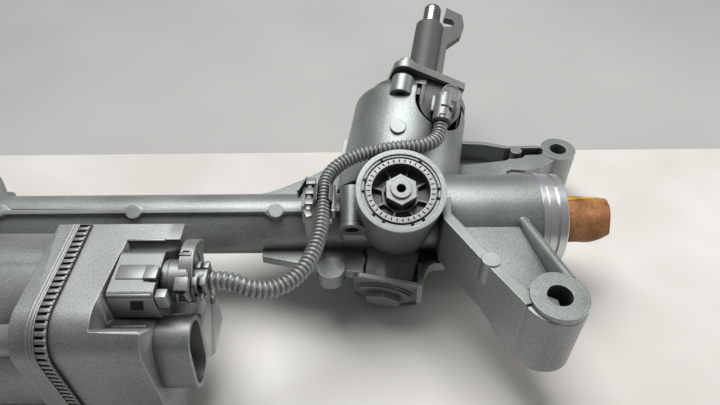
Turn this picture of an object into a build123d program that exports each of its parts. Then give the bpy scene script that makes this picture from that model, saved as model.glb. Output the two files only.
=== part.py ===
from build123d import *
import os
from math import cos, pi, radians, sin, sqrt, tan

os.makedirs("parts", exist_ok=True)

# Electric steering rack with a belt-driven ball nut. The rack axis is X, and the origin is in the
# right-hand boot seat. Millimetres and degrees.

# ---- Driving dimensions: rack bar and steering geometry
RACK_R = 14.0
RACK_RIGHT_END = 40.0
RACK_LEFT_END = -645.0
RACK_TRAVEL = 70.0
TIE_ROD_HOLE_R = 7.25
TIE_ROD_HOLE_DEPTH = 24.0
SCREW_CORE_R = 12.9
PAPER_START, PAPER_END, PAPER_R = -2.0, 50.0, 18.4
PINION_X = -111.0
YOKE_TILT = 67.0
PINION_LEAN = 11.0
MODULE = 1.8
PINION_TEETH = 10
PRESSURE_ANGLE = 25.0
RACK_ADDENDUM = 1.44
PINION_ADDENDUM = 1.5
ROOT_CLEARANCE = 0.35
BACKLASH = 0.16
TOOTH_FLAT = 9.6
RUNNING_GAP = 0.06
SEAT_GAP = 0.02

# ---- Driving dimensions: rack housing
TUBE_R = 20.0
TUBE_BORE_R = 15.6
TUBE_LEFT = -428.0
BODY_LEFT = -150.0
BODY_R = 23.0
RIGHT_CYLINDER_LEFT = -76.0
RIGHT_CYLINDER_R = 33.0
BOOT_BORE_R = 27.5
BOOT_BORE_START = PAPER_START - RACK_TRAVEL - 4
BUSH_SEAT_LEFT = -90.0
BUSH_SEAT_R = 17.5
BOOT_SEAT_START = -12.0
BOOT_SEAT_END = 5.0
BOOT_LAND = 5.0
BOOT_GROOVE_R = 30.8
END_CHAMFER = 0.5

# ---- Driving dimensions: yoke tower
YOKE_TOP = 53.0
YOKE_TOWER_BASE = -16.0
YOKE_TOWER_BASE_R = 25.5
YOKE_TOWER_BASE_SHIFT = (-2.0, -3.5)
YOKE_TOWER_TOP_R = 30.0
YOKE_CAP_R = 26.4
YOKE_CAP_BOTTOM = 37.0
YOKE_R = 20.0
YOKE_HEAD = 36.7
LINER_WALL = 1.2

# ---- Driving dimensions: pinion tower, along the pinion axis from the rack
TOWER_R = 46.0
TOWER_SHIFT = -4.0
TOWER_BASE = 18.0
TOWER_TOP = 106.0
TOWER_SHOULDER = 8.0
CHAMBER_R = 38.0
CHAMBER_FLOOR = 37.0
PINION_BORE_R = 12.0
UPPER_SEAT_R = 18.0
UPPER_BEARING = (23.0, 35.0)
LOWER_SEAT_R = 16.0
LOWER_BEARING = (-38.0, -27.0)
LOWER_BOSS_R = 21.0
LOWER_BOSS_END = -52.0
FRAME_SET_BACK = 1.5
FRAME_THICK = 3.0
FRAME_RISE = 1.0
FRAME_SHIFT = 1.5
FRAME_HEIGHT = 52.0
FRAME_WIDTH = 48.0
PLUG_THREAD_R = 17.5
PLUG_FLANGE_R = 19.5
PLUG_FLANGE_THICK = 1.5
PLUG_BOTTOM = -58.5
PLUG_HEX = 24.0
GEAR_HALF = 15.0
JOURNAL_R = 7.0
PINION_TOP = 50.0
SHAFT_R = 10.0
SHAFT_TIP = 221.0
TIP_R = 8.0
SLEEVE_START = 121.0
SLEEVE_END = 197.0
SLEEVE_R = 12.5
COVER_TOP = 118.0

# ---- Driving dimensions: motor, belt drive and ball nut
MOTOR_Y = -92.0
MOTOR_Z = 12.6
MOTOR_R = 50.0
MOTOR_WALL = 3.0
MOTOR_SEAM = -303.0
BELT_PITCH = 3.0
DRIVEN_TEETH = 88
DRIVE_TEETH = 32
BELT_RIGHT = -448.0
BELT_WIDTH = 20.0
BELT_THICK = 2.4
NUT_R = 26.0
CHAMBER_WALL = 4.0
PLATE_LEFT = -438.0
BELT_CASE_LEFT = -478.0
BELT_CASE_R = 52.0
LEFT_CYLINDER_START = -520.0
LEFT_BOOT_END = -610.0

# ---- Driving dimensions: mounting lugs, each a centre, a height span, and radii
FRONT_LUG = (-25.0, -99.0)
FRONT_LUG_SPAN = (-16.0, 38.0)
FRONT_LUG_R = 17.0
FRONT_HOLE_R = 7.5
REAR_LUG = (37.0, 98.0)
REAR_LUG_SPAN = (-55.5, -12.0)
REAR_LUG_R = 15.0
REAR_HOLE_R = 7.25
LEFT_FRONT_LUG = (-560.0, -92.0)
LEFT_REAR_LUG = (-560.0, 98.0)

# ---- Driving dimensions: screw places round the belt case and the motor flange
DRIVE_CASE_R = 34.0
CASE_SCREW_OUT = 3.0
NUT_SCREW_ANGLES = [40.0, -25.0, 95.0]
DRIVE_SCREW_ANGLES = [100.0, 180.0, 260.0]
CASE_BOSS_R = 7.0
MOTOR_BOLT_CIRCLE = MOTOR_R + 5
MOTOR_BOLT_ANGLES = [75.0, 180.0, 285.0]
MOTOR_EAR_R = 9.0

# ---- Directions and planes
YOKE_DIR = Vector(0, -cos(radians(YOKE_TILT)), sin(radians(YOKE_TILT)))
BACK_DIR = Vector(0, sin(radians(YOKE_TILT)), cos(radians(YOKE_TILT)))
RIGHT_DIR = Vector(1, 0, 0)
LEAN_SIN, LEAN_COS = sin(radians(PINION_LEAN)), cos(radians(PINION_LEAN))
PINION_DIR = RIGHT_DIR * LEAN_SIN + BACK_DIR * LEAN_COS
PINION_SIDE = RIGHT_DIR * LEAN_COS - BACK_DIR * LEAN_SIN
PITCH_R = MODULE * PINION_TEETH / 2
PINION_DEPTH = TOOTH_FLAT + PITCH_R - RACK_ADDENDUM
YOKE_FOOT = Vector(PINION_X, 0, 0)
PINION_FOOT = YOKE_FOOT - YOKE_DIR * PINION_DEPTH


def across(x):
    """Plane square to the rack: local X is +Y and local Y is +Z."""
    return Plane(origin=(x, 0, 0), x_dir=(0, 1, 0), z_dir=(1, 0, 0))


def motor_plane(x):
    """Plane square to the motor axis: local X is +Y and local Y is +Z."""
    return Plane(origin=(x, MOTOR_Y, MOTOR_Z), x_dir=(0, 1, 0), z_dir=(1, 0, 0))


def yoke_plane(height):
    """Plane square to the yoke axis: local X is +X and local Y is the back direction."""
    return Plane(origin=YOKE_FOOT + YOKE_DIR * height, x_dir=RIGHT_DIR, z_dir=YOKE_DIR)


def pinion_plane(height):
    """Plane square to the pinion: local X is towards the yoke side and local Y is right."""
    return Plane(origin=PINION_FOOT + PINION_DIR * height, x_dir=YOKE_DIR, z_dir=PINION_DIR)


def bar(plane, radius, length, hole=0.0, mode=Mode.ADD):
    """A round bar or tube that stands on a plane."""
    with BuildSketch(plane) as section:
        Circle(radius)
        if hole > 0:
            Circle(hole, mode=Mode.SUBTRACT)
    extrude(section.sketch, amount=length, mode=mode)


def finish(piece, name):
    """Labels a finished piece and writes it."""
    piece.part.label = name
    export_step(piece.part, f"parts/{name}.step")


def rounded_square(plane, half, corner, inner=0.0):
    """Rounded square outline, as a ring when an inner half size is given."""
    with BuildSketch(plane) as section:
        RectangleRounded(2 * half, 2 * half, corner)
        if inner > 0:
            RectangleRounded(2 * inner, 2 * inner, corner - (half - inner), mode=Mode.SUBTRACT)
    return section.sketch


def lug(centre, span, radius):
    """A vertical mounting boss without its hole, which is cut last."""
    bar(Plane.XY.offset(span[0]) * Location((*centre, 0)), radius, span[1] - span[0])


def lug_hole(centre, span, hole):
    """The bolt hole of a mounting boss."""
    plane = Plane.XY.offset(span[0]) * Location((*centre, 0))
    bar(plane, hole, span[1] - span[0], mode=Mode.SUBTRACT)


def slab(points, low, high, mode=Mode.ADD):
    """A plate with a closed outline in plan, between two heights."""
    with BuildSketch(Plane.XY.offset(low)) as section:
        with BuildLine():
            Polyline(*points, close=True)
        make_face()
    extrude(section.sketch, amount=high - low, mode=mode)


CASE_SCREWS = [((BELT_CASE_R + CASE_SCREW_OUT) * cos(radians(angle)),
                (BELT_CASE_R + CASE_SCREW_OUT) * sin(radians(angle))) for angle in NUT_SCREW_ANGLES]
CASE_SCREWS += [(MOTOR_Y + (DRIVE_CASE_R + CASE_SCREW_OUT) * cos(radians(angle)),
                 MOTOR_Z + (DRIVE_CASE_R + CASE_SCREW_OUT) * sin(radians(angle))) for angle in DRIVE_SCREW_ANGLES]
MOTOR_BOLT_PLACES = [(MOTOR_Y + MOTOR_BOLT_CIRCLE * cos(radians(angle)),
                      MOTOR_Z + MOTOR_BOLT_CIRCLE * sin(radians(angle))) for angle in MOTOR_BOLT_ANGLES]

# ---- Sensor plate on the front of the pinion tower
PLATE_TURN = 15.0
PLATE_DIR = YOKE_DIR * cos(radians(PLATE_TURN)) + PINION_SIDE * sin(radians(PLATE_TURN))
PLATE_SIDE = PINION_DIR.cross(PLATE_DIR)
PLATE_MIDDLE = 90.0
PLATE_SHIFT = 8.0
PLATE_HALF_WIDTH = 16.5
PLATE_TOP = 24.0
PLATE_ROUND = 2.0
PLATE_FACE = TOWER_R - 6.0
PLATE_GAP = 5.0
PLATE_RECESS = 2.0
EAR_SCREW_R = 3.2
EAR_CIRCLE = TOWER_R - 1.6
EAR_ANGLE = -17.0
EAR_POINTS = [(side * EAR_CIRCLE * cos(radians(EAR_ANGLE)), side * EAR_CIRCLE * sin(radians(EAR_ANGLE)))
              for side in (1, -1)]


def plate_plane(depth):
    """Plane of the sensor plate: local Y runs up the pinion and local Z points out."""
    origin = PINION_FOOT + PINION_DIR * PLATE_MIDDLE + PLATE_SIDE * PLATE_SHIFT + PLATE_DIR * depth
    return Plane(origin=origin, x_dir=PLATE_SIDE, z_dir=PLATE_DIR)


def plate_outline(depth, grow):
    """D-shaped outline with a flat top and a round bottom."""
    half = PLATE_HALF_WIDTH + grow
    with BuildSketch(plate_plane(depth)) as section:
        with BuildLine():
            Polyline((-half, PLATE_ROUND), (-half, PLATE_TOP), (half, PLATE_TOP), (half, PLATE_ROUND))
            ThreePointArc((half, PLATE_ROUND), (0, PLATE_ROUND - half), (-half, PLATE_ROUND))
        make_face()
    return section.sketch


# ---- Rack housing: one casting with the pinion tower, the yoke tower and the right-hand lugs
LEFT_WALL_POINTS = [(-84, -14), (-83.5, -35), (-66, -67.5), (-46.5, -101), (-25, -99), (-8, -97), (-10.6, -84),
                    (-23.4, -20), (-42, -14)]
LEFT_RIB_POINTS = [(-84, -18), (-83.5, -35), (-66, -67.5), (-45, -103.6), (-35, -101), (-45, -88.5), (-54.4, -75),
                   (-61.5, -61.5), (-71.5, -41.5), (-78, -30), (-76, -14)]
ARM_FACE = Plane(origin=(-66, -67.5, 0), x_dir=(19.5, -33.5, 0), z_dir=(-33.5, -19.5, 0))
ARM_FACE_POINTS = [(0, -2), (40, -2), (40, -16), (31, -16), (22, -9), (10, -5)]
ARM_FACE_THICK = 14.0
FRONT_ARM_BOTTOM = -5.0
FRONT_WEB_TOP = 19.0
FRONT_PAD = (-58.8, -70.5)
FRONT_PAD_R = 5.9
RIGHT_RIB_START = Vector(-27, -20, 20)
RIGHT_RIB_END = Vector(-14, -84, 32.5)
RIGHT_RIB_R = 3.6
RIGHT_RIB_SIDE = Vector(0, 0, 1).cross(RIGHT_RIB_END - RIGHT_RIB_START).normalized()
RIGHT_RIB_POINTS = [(-30.6, -20), (-17.4, -84), (-10.6, -84), (-23.4, -20)]
ARCH_TOP = -11.0
FRAME_WALL_POINTS = [(-99, -53), (-95.6, -53.5), (-93.6, -33), (-97, -33)]
ARCH_RIM_POINTS = [(-97, -40), (-95.4, -38.8), (-92.4, -33.4), (-87.2, -29.6), (-78, -29.6), (-78, -33),
                   (-86.2, -33), (-90, -36), (-92.6, -40.6), (-95.4, -52), (-98, -52)]
ARCH_WEB_POINTS = [(-99, -45), (-93.4, -38), (-86.5, -31), (-78, -31), (-76, -10), (-99, -10)]
REAR_ARM_POINTS = [(-92, 112), (-44, 112), (-26, 110.5), (-6, 103.5), (18, 104.5), (37, 98), (30, 84), (16, 74),
                   (-14, 66), (-92, 62)]
REAR_HOLLOW_POINTS = [(-72, 108), (-44, 108), (-26, 106.4), (-9, 101), (22, 101), (24, 97), (21, 91.5), (7, 91),
                      (4, 87.5), (-2, 86), (-8, 86), (-12, 83.6), (-50, 78), (-72, 78)]
REAR_STEP_POINTS = [(-16, 60), (-13.5, 70), (-9, 72), (12, 69.8), (19, 72), (19, 60)]
REAR_ARM_TOP = -13.0
REAR_PAD = (0.0, 97.1)
REAR_PAD_R = 4.9
REAR_WEB_POINTS = [(-92, 20), (-92, 100), (-20, 90), (8, 86), (12, 74), (-12, 66), (-24, 20)]
RIB_PADS = [-396.0, -297.0, -197.0]
GUSSET_POINTS = [(-240, 19), (-217.8, 27.7), (-209.6, 30), (-193.1, 38.6), (-177.9, 48.4), (-150, 74)]
TUBE_SAG = (-2.3, -3.2)
FRONT_WEB_POINTS = [(-209, -12), (-208.2, -27.6), (-179.6, -35), (-150, -41.3), (-136, -43.4), (-136, -12)]
PILLAR_BASE = 91.0
CLIP_BOSS_TOP = 22.0
COLUMN_X = -143.7
COLUMN_RISE = 24.5
COLUMN_MOUTH = -17.4
COLUMN_LENGTH = 31.0
COLUMN_R = 8.5
COLUMN_RIM_R = 9.6
COLUMN_HOLE_R = 5.0
COLUMN_HOLE_DEPTH = 20.0
COLUMN_ENTRY = 6.0

with BuildPart() as rack_housing:
    with BuildSketch(across(TUBE_LEFT)) as tube_section:
        Circle(TUBE_R)
        with Locations(TUBE_SAG):
            Circle(TUBE_R)
        make_hull()
    extrude(tube_section.sketch, amount=BODY_LEFT - TUBE_LEFT)
    bar(across(BODY_LEFT), BODY_R, RIGHT_CYLINDER_LEFT - BODY_LEFT)
    bar(across(RIGHT_CYLINDER_LEFT - 4), RIGHT_CYLINDER_R, BOOT_SEAT_START - RIGHT_CYLINDER_LEFT + 4)
    # Parting rib with its round pads along the top of the tube.
    with BuildSketch(across(TUBE_LEFT)) as rib_section:
        with Locations((-9.4, 19.4)):
            Rectangle(3.0, 4.2, rotation=26)
    extrude(rib_section.sketch, amount=BODY_LEFT - TUBE_LEFT)
    for pad_x in RIB_PADS:
        pad = Plane(origin=(pad_x, -7.0, 13.5), x_dir=(1, 0, 0), z_dir=(0, -0.44, 0.9))
        bar(pad, 5.2, 8.6)
    # Yoke tower, flared towards its open top.
    with BuildSketch(yoke_plane(YOKE_TOWER_BASE)) as tower_foot:
        with Locations(YOKE_TOWER_BASE_SHIFT):
            Circle(YOKE_TOWER_BASE_R)
    with BuildSketch(yoke_plane(YOKE_TOP)) as tower_mouth:
        Circle(YOKE_TOWER_TOP_R)
    loft([tower_foot.sketch.face(), tower_mouth.sketch.face()])
    # Pinion tower and the lower pinion boss.
    tower_foot_point = PINION_FOOT + PINION_SIDE * TOWER_SHIFT
    tower_section_plane = Plane(origin=tower_foot_point, x_dir=YOKE_DIR, z_dir=YOKE_DIR.cross(PINION_DIR))
    with BuildSketch(tower_section_plane) as tower_section:
        with BuildLine():
            Polyline((TOWER_R - TOWER_SHOULDER, TOWER_TOP), (0, TOWER_TOP), (0, TOWER_BASE), (TOWER_R, TOWER_BASE),
                     (TOWER_R, TOWER_TOP - TOWER_SHOULDER))
            RadiusArc((TOWER_R, TOWER_TOP - TOWER_SHOULDER), (TOWER_R - TOWER_SHOULDER, TOWER_TOP), -TOWER_SHOULDER)
        make_face()
    revolve(tower_section.sketch, axis=Axis(tower_foot_point, PINION_DIR))
    bar(pinion_plane(LOWER_BOSS_END), LOWER_BOSS_R, TOWER_BASE - LOWER_BOSS_END + 4)
    with BuildSketch(pinion_plane(-30)) as core_section:
        RectangleRounded(40, 42, 8)
    extrude(core_section.sketch, amount=30 + TOWER_BASE)
    with BuildSketch(pinion_plane(LOWER_BOSS_END + FRAME_SET_BACK)) as seat_block:
        with Locations((0, FRAME_SHIFT)):
            RectangleRounded(39, 38, 3)
    extrude(seat_block.sketch, amount=26)
    # Front plate of the lower pinion boss, with its side wall and the arched web beside it.
    with BuildSketch(pinion_plane(LOWER_BOSS_END + FRAME_SET_BACK)) as frame_section:
        with Locations((FRAME_RISE, FRAME_SHIFT)):
            RectangleRounded(FRAME_HEIGHT, FRAME_WIDTH, 5)
    extrude(frame_section.sketch, amount=FRAME_THICK)
    slab(FRAME_WALL_POINTS, -30, ARCH_TOP)
    slab(ARCH_RIM_POINTS, ARCH_TOP - 8, ARCH_TOP)
    slab(ARCH_WEB_POINTS, ARCH_TOP - 8, ARCH_TOP - 5)
    # Front lug on a low web, with a narrow rib on its left and a round rib on its right.
    slab(LEFT_WALL_POINTS, FRONT_ARM_BOTTOM, FRONT_WEB_TOP)
    slab(LEFT_RIB_POINTS, FRONT_ARM_BOTTOM, FRONT_LUG_SPAN[1] - 2)
    with BuildSketch(ARM_FACE) as arm_foot:
        with BuildLine():
            Polyline(*ARM_FACE_POINTS, close=True)
        make_face()
    extrude(arm_foot.sketch, amount=-ARM_FACE_THICK)
    lug(FRONT_LUG, FRONT_LUG_SPAN, FRONT_LUG_R)
    bar(Plane.XY.offset(FRONT_WEB_TOP) * Location((*FRONT_PAD, 0)), FRONT_PAD_R, FRONT_LUG_SPAN[1] - 1 - FRONT_WEB_TOP)
    right_rib = Plane(origin=RIGHT_RIB_START, z_dir=RIGHT_RIB_END - RIGHT_RIB_START)
    bar(right_rib, RIGHT_RIB_R, (RIGHT_RIB_END - RIGHT_RIB_START).length)
    slab(RIGHT_RIB_POINTS, FRONT_ARM_BOTTOM, RIGHT_RIB_START.Z)
    with BuildSketch(Plane(origin=RIGHT_RIB_START, x_dir=(RIGHT_RIB_END - RIGHT_RIB_START).normalized(),
                           z_dir=RIGHT_RIB_SIDE)) as rib_wedge:
        with BuildLine():
            rib_run = (RIGHT_RIB_END - RIGHT_RIB_START).length
            Polyline((0, 0), (rib_run, 0), (rib_run, 16), (0, 5), close=True)
        make_face()
    extrude(rib_wedge.sketch, amount=RIGHT_RIB_R - 0.2, both=True)
    # Rear lug with its arm and low web.
    slab(REAR_ARM_POINTS, -38, REAR_ARM_TOP)
    slab(REAR_WEB_POINTS, -34, -26)
    lug(REAR_LUG, REAR_LUG_SPAN, REAR_LUG_R)
    slab(REAR_HOLLOW_POINTS, -32, REAR_ARM_TOP + 1, mode=Mode.SUBTRACT)
    slab(REAR_STEP_POINTS, REAR_ARM_TOP - 2.5, REAR_ARM_TOP + 1, mode=Mode.SUBTRACT)
    bar(Plane.XY.offset(-34) * Location((*REAR_PAD, 0)), REAR_PAD_R, REAR_ARM_TOP + 34.8)
    # Curved gusset between the tube and the tower.
    with BuildSketch(Plane.XY.offset(-8)) as gusset:
        with BuildLine():
            Spline(*GUSSET_POINTS)
            Polyline(GUSSET_POINTS[-1], (-110, 76), (-110, 10), (GUSSET_POINTS[0][0], 10), GUSSET_POINTS[0])
        make_face()
    extrude(gusset.sketch, amount=9)
    # Column boss, round pad, low front web and clip boss.
    column_mouth = Vector(COLUMN_X, 0, 0) + YOKE_DIR * COLUMN_RISE + BACK_DIR * COLUMN_MOUTH
    column = Plane(origin=column_mouth, x_dir=RIGHT_DIR, z_dir=BACK_DIR)
    bar(column, COLUMN_R, COLUMN_LENGTH)
    bar(column, COLUMN_RIM_R, 2.5)
    with BuildSketch(column) as column_web:
        with Locations((9, 12)):
            Rectangle(26, 24)
    extrude(column_web.sketch, amount=COLUMN_LENGTH - 4)
    slab(FRONT_WEB_POINTS, -15, -8)
    bar(Plane.XY.offset(-17) * Location((-158.5, -41, 0)), 9.6, 12)
    with BuildSketch(Plane.XY.offset(8)) as clip_boss:
        with Locations((-171, -12)):
            RectangleRounded(13, 24, 3)
    extrude(clip_boss.sketch, amount=CLIP_BOSS_TOP - 8)
    # Small flat tab and round pad of the tower.
    bar(Plane(origin=Vector(-109.5, 0, 0) + YOKE_DIR * 18 + BACK_DIR * 62, x_dir=RIGHT_DIR, z_dir=YOKE_DIR), 5.6, 12.5)
    with BuildSketch(pinion_plane(48) * Location((4, TOWER_SHIFT - TOWER_R, 0))) as tab_section:
        Rectangle(8, 5)
    extrude(tab_section.sketch, amount=17)
    # Screw pillar of the sensor cover.
    bar(pinion_plane(PILLAR_BASE) * Location((*EAR_POINTS[0], 0)), 8.5, TOWER_TOP - PILLAR_BASE)
    # End plate that carries the belt case and the motor.
    with BuildSketch(across(PLATE_LEFT)) as end_plate:
        Circle(BELT_CASE_R)
        with Locations((MOTOR_Y, MOTOR_Z)):
            Circle(MOTOR_R)
        make_hull()
        with Locations(*CASE_SCREWS):
            Circle(CASE_BOSS_R)
        with Locations(*MOTOR_BOLT_PLACES):
            Circle(MOTOR_EAR_R)
    extrude(end_plate.sketch, amount=TUBE_LEFT - PLATE_LEFT)
    bar(across(TUBE_LEFT), 30, 14)
    # Bores: rack, boot end, right bush seat.
    bar(across(PLATE_LEFT), TUBE_BORE_R, -PLATE_LEFT + BOOT_SEAT_START, mode=Mode.SUBTRACT)
    with BuildSketch(Plane.XZ) as seat_profile:
        with BuildLine():
            Polyline((BOOT_SEAT_START, 20), (BOOT_SEAT_START, 33.6), (-8.6, 33.6), (-8.6, 32),
                     (-7.4, 32), (-7.4, 33), (-2.4, 33), (-2.4, BOOT_GROOVE_R), (-0.5, BOOT_GROOVE_R),
                     (-0.5, 33), (BOOT_SEAT_END - END_CHAMFER, 33), (BOOT_SEAT_END, 33 - END_CHAMFER),
                     (BOOT_SEAT_END, 20), close=True)
        make_face()
    revolve(seat_profile.sketch, axis=Axis.X)
    bar(across(BOOT_BORE_START), BOOT_BORE_R, BOOT_SEAT_END - BOOT_BORE_START, mode=Mode.SUBTRACT)
    bar(across(BUSH_SEAT_LEFT), BUSH_SEAT_R, BOOT_BORE_START - BUSH_SEAT_LEFT, mode=Mode.SUBTRACT)
    # Bores: yoke, cap, pinion seats and sensor chamber.
    bar(yoke_plane(4), YOKE_R, YOKE_TOP, mode=Mode.SUBTRACT)
    bar(yoke_plane(YOKE_CAP_BOTTOM), YOKE_CAP_R, YOKE_TOP, mode=Mode.SUBTRACT)
    bar(pinion_plane(LOWER_BEARING[0] - 9), LOWER_SEAT_R, 20, mode=Mode.SUBTRACT)
    bar(pinion_plane(LOWER_BOSS_END - 1), PLUG_THREAD_R, 7, mode=Mode.SUBTRACT)
    bar(pinion_plane(LOWER_BEARING[1] - 1), PINION_BORE_R, UPPER_BEARING[0] - LOWER_BEARING[1] + 2, mode=Mode.SUBTRACT)
    bar(pinion_plane(UPPER_BEARING[0]), UPPER_SEAT_R, CHAMBER_FLOOR - UPPER_BEARING[0] + 1, mode=Mode.SUBTRACT)
    bar(pinion_plane(CHAMBER_FLOOR), CHAMBER_R, TOWER_TOP, mode=Mode.SUBTRACT)
    # Front opening of the tower round the sensor plate.
    lug_hole(FRONT_LUG, FRONT_LUG_SPAN, FRONT_HOLE_R)
    lug_hole(REAR_LUG, REAR_LUG_SPAN, REAR_HOLE_R)
    bar(column.offset(-COLUMN_ENTRY), COLUMN_HOLE_R, COLUMN_HOLE_DEPTH + COLUMN_ENTRY, mode=Mode.SUBTRACT)
    bar(motor_plane(PLATE_LEFT - 1), 24, 20, mode=Mode.SUBTRACT)
    for place in CASE_SCREWS:
        bar(across(PLATE_LEFT) * Location((*place, 0)), 3.3, 8, mode=Mode.SUBTRACT)
    for place in MOTOR_BOLT_PLACES:
        bar(across(PLATE_LEFT) * Location((*place, 0)), 4.1, 12, mode=Mode.SUBTRACT)
    extrude(plate_outline(26, PLATE_GAP), amount=40, mode=Mode.SUBTRACT)
    bar(pinion_plane(PILLAR_BASE - 1) * Location((*EAR_POINTS[0], 0)), 4.2, 5, mode=Mode.SUBTRACT)
    for ear in EAR_POINTS:
        bar(pinion_plane(TOWER_TOP - 8) * Location((*ear, 0)), EAR_SCREW_R + 0.1, 8, mode=Mode.SUBTRACT)
finish(rack_housing, "rack_housing")
print("rack_housing", rack_housing.part.volume, len(rack_housing.part.solids()), rack_housing.part.is_valid)

# ---- Rack bar with cut teeth, ball screw shank and tapped ends
TOOTH_PITCH = pi * MODULE
TOOTHED_HALF = RACK_TRAVEL + 16
TOOTH_ROWS = int(TOOTHED_HALF * LEAN_COS / TOOTH_PITCH)
TOOTH_CUT_HALF = RACK_R + TOOTHED_HALF * LEAN_SIN
FLANK = tan(radians(PRESSURE_ANGLE))
RACK_ROOT = PITCH_R + PINION_ADDENDUM + ROOT_CLEARANCE
NORMAL_PLANE = Plane(origin=YOKE_FOOT, x_dir=PINION_SIDE, z_dir=PINION_SIDE.cross(YOKE_DIR))


def rack_tooth_points(row):
    """Corners of one tooth, in the plane square to the pinion, with its tip at the flat."""
    middle = row * TOOTH_PITCH
    root = PINION_DEPTH - RACK_ROOT
    pitch_line = PINION_DEPTH - PITCH_R
    half = TOOTH_PITCH / 4
    tip_half = half - RACK_ADDENDUM * FLANK
    root_half = half + (pitch_line - root) * FLANK
    return [(middle - root_half, -root), (middle - tip_half, -TOOTH_FLAT),
            (middle + tip_half, -TOOTH_FLAT), (middle + root_half, -root)]


with BuildPart() as rack_bar:
    with BuildSketch(Plane.XZ) as bar_profile:
        with BuildLine():
            Polyline((RACK_LEFT_END, 0), (RACK_LEFT_END, RACK_R - 1.5), (RACK_LEFT_END + 1.5, RACK_R), (-586, RACK_R),
                     (-584, SCREW_CORE_R), (-372, SCREW_CORE_R), (-370, RACK_R), (RACK_RIGHT_END - 1.5, RACK_R),
                     (RACK_RIGHT_END, RACK_R - 1.5), (RACK_RIGHT_END, 0), close=True)
        make_face()
    revolve(bar_profile.sketch, axis=Axis.X)
    tooth_corners = [p for row in range(-TOOTH_ROWS, TOOTH_ROWS + 1) for p in rack_tooth_points(row)]
    with BuildSketch(NORMAL_PLANE) as tooth_gaps:
        with BuildLine():
            Polyline((tooth_corners[0][0], -RACK_R - 2), *tooth_corners, (tooth_corners[-1][0], -RACK_R - 2), close=True)
        make_face()
    extrude(tooth_gaps.sketch, amount=TOOTH_CUT_HALF, both=True, mode=Mode.SUBTRACT)
    bar(across(RACK_RIGHT_END - TIE_ROD_HOLE_DEPTH), TIE_ROD_HOLE_R, TIE_ROD_HOLE_DEPTH, mode=Mode.SUBTRACT)
    bar(across(RACK_LEFT_END), TIE_ROD_HOLE_R, TIE_ROD_HOLE_DEPTH, mode=Mode.SUBTRACT)
finish(rack_bar, "rack_bar")

with BuildPart() as protective_paper:
    bar(across(PAPER_START), PAPER_R, PAPER_END - PAPER_START, RACK_R)
finish(protective_paper, "protective_paper")

# ---- Pinion with involute teeth
BASE_R = PITCH_R * cos(radians(PRESSURE_ANGLE))
TIP_RADIUS = PITCH_R + PINION_ADDENDUM
ROOT_RADIUS = PITCH_R - RACK_ADDENDUM - ROOT_CLEARANCE
INVOLUTE_STEPS = 4


def roll_angle(radius):
    """Polar angle of the involute at a radius, in radians."""
    along = sqrt(max(radius * radius - BASE_R * BASE_R, 0.0)) / BASE_R
    return along - radians(Vector(1, 0).get_angle(Vector(1, along)))


def flank_points(side):
    """Points up one flank of a tooth that is centred on local X."""
    half_angle = (TOOTH_PITCH / 2 - BACKLASH) / 2 / PITCH_R + roll_angle(PITCH_R)
    points = []
    for step in range(INVOLUTE_STEPS + 1):
        radius = BASE_R + (TIP_RADIUS - BASE_R) * (step / INVOLUTE_STEPS) ** 1.5
        angle = side * (half_angle - roll_angle(radius))
        points.append(Vector(radius * cos(angle), radius * sin(angle)))
    return points


with BuildPart() as pinion:
    bar(pinion_plane(-GEAR_HALF), ROOT_RADIUS, 2 * GEAR_HALF)
    with BuildSketch(pinion_plane(-GEAR_HALF)) as tooth_ring:
        with PolarLocations(0, PINION_TEETH, start_angle=180 / PINION_TEETH):
            with BuildSketch(mode=Mode.PRIVATE) as one_tooth:
                with BuildLine():
                    lower, upper = flank_points(-1), flank_points(1)
                    lower_root = lower[0] * ((ROOT_RADIUS - 0.3) / BASE_R)
                    upper_root = upper[0] * ((ROOT_RADIUS - 0.3) / BASE_R)
                    Line(lower_root, lower[0])
                    Spline(*lower)
                    ThreePointArc(lower[-1], (TIP_RADIUS, 0), upper[-1])
                    Spline(*reversed(upper))
                    Line(upper[0], upper_root)
                    Line(upper_root, lower_root)
                make_face()
            add(one_tooth.sketch)
    extrude(tooth_ring.sketch, amount=2 * GEAR_HALF)
    bar(pinion_plane(LOWER_BEARING[0] - 8), JOURNAL_R - 0.02, -GEAR_HALF - LOWER_BEARING[0] + 8)
    bar(pinion_plane(GEAR_HALF), JOURNAL_R + 1.5, UPPER_BEARING[0] - GEAR_HALF)
    bar(pinion_plane(UPPER_BEARING[0]), 8.0, UPPER_BEARING[1] - UPPER_BEARING[0])
    bar(pinion_plane(UPPER_BEARING[1]), 11.0, PINION_TOP - UPPER_BEARING[1])
    bar(pinion_plane(PINION_TOP - 12), 7.0, 12, mode=Mode.SUBTRACT)
    bar(pinion_plane(-12), 3.0, PINION_TOP + 12, mode=Mode.SUBTRACT)
finish(pinion, "pinion")

with BuildPart() as torsion_bar:
    bar(pinion_plane(-12), 3.0, 8)
    bar(pinion_plane(-4), 2.4, 84)
    bar(pinion_plane(80), 2.9, 10)
finish(torsion_bar, "torsion_bar")

with BuildPart() as pinion_nut:
    with BuildSketch(pinion_plane(LOWER_BEARING[0] - 7)) as nut_section:
        RegularPolygon(11, 6)
        Circle(JOURNAL_R - 0.02, mode=Mode.SUBTRACT)
    extrude(nut_section.sketch, amount=7)
finish(pinion_nut, "pinion_nut")

with BuildPart() as pinion_lower_bearing:
    bar(pinion_plane(LOWER_BEARING[0]), LOWER_SEAT_R - SEAT_GAP, LOWER_BEARING[1] - LOWER_BEARING[0], JOURNAL_R + 0.03)
finish(pinion_lower_bearing, "pinion_lower_bearing")

with BuildPart() as pinion_upper_bearing:
    bar(pinion_plane(UPPER_BEARING[0]), UPPER_SEAT_R - SEAT_GAP, UPPER_BEARING[1] - UPPER_BEARING[0], 8.05)
finish(pinion_upper_bearing, "pinion_upper_bearing")

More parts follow.
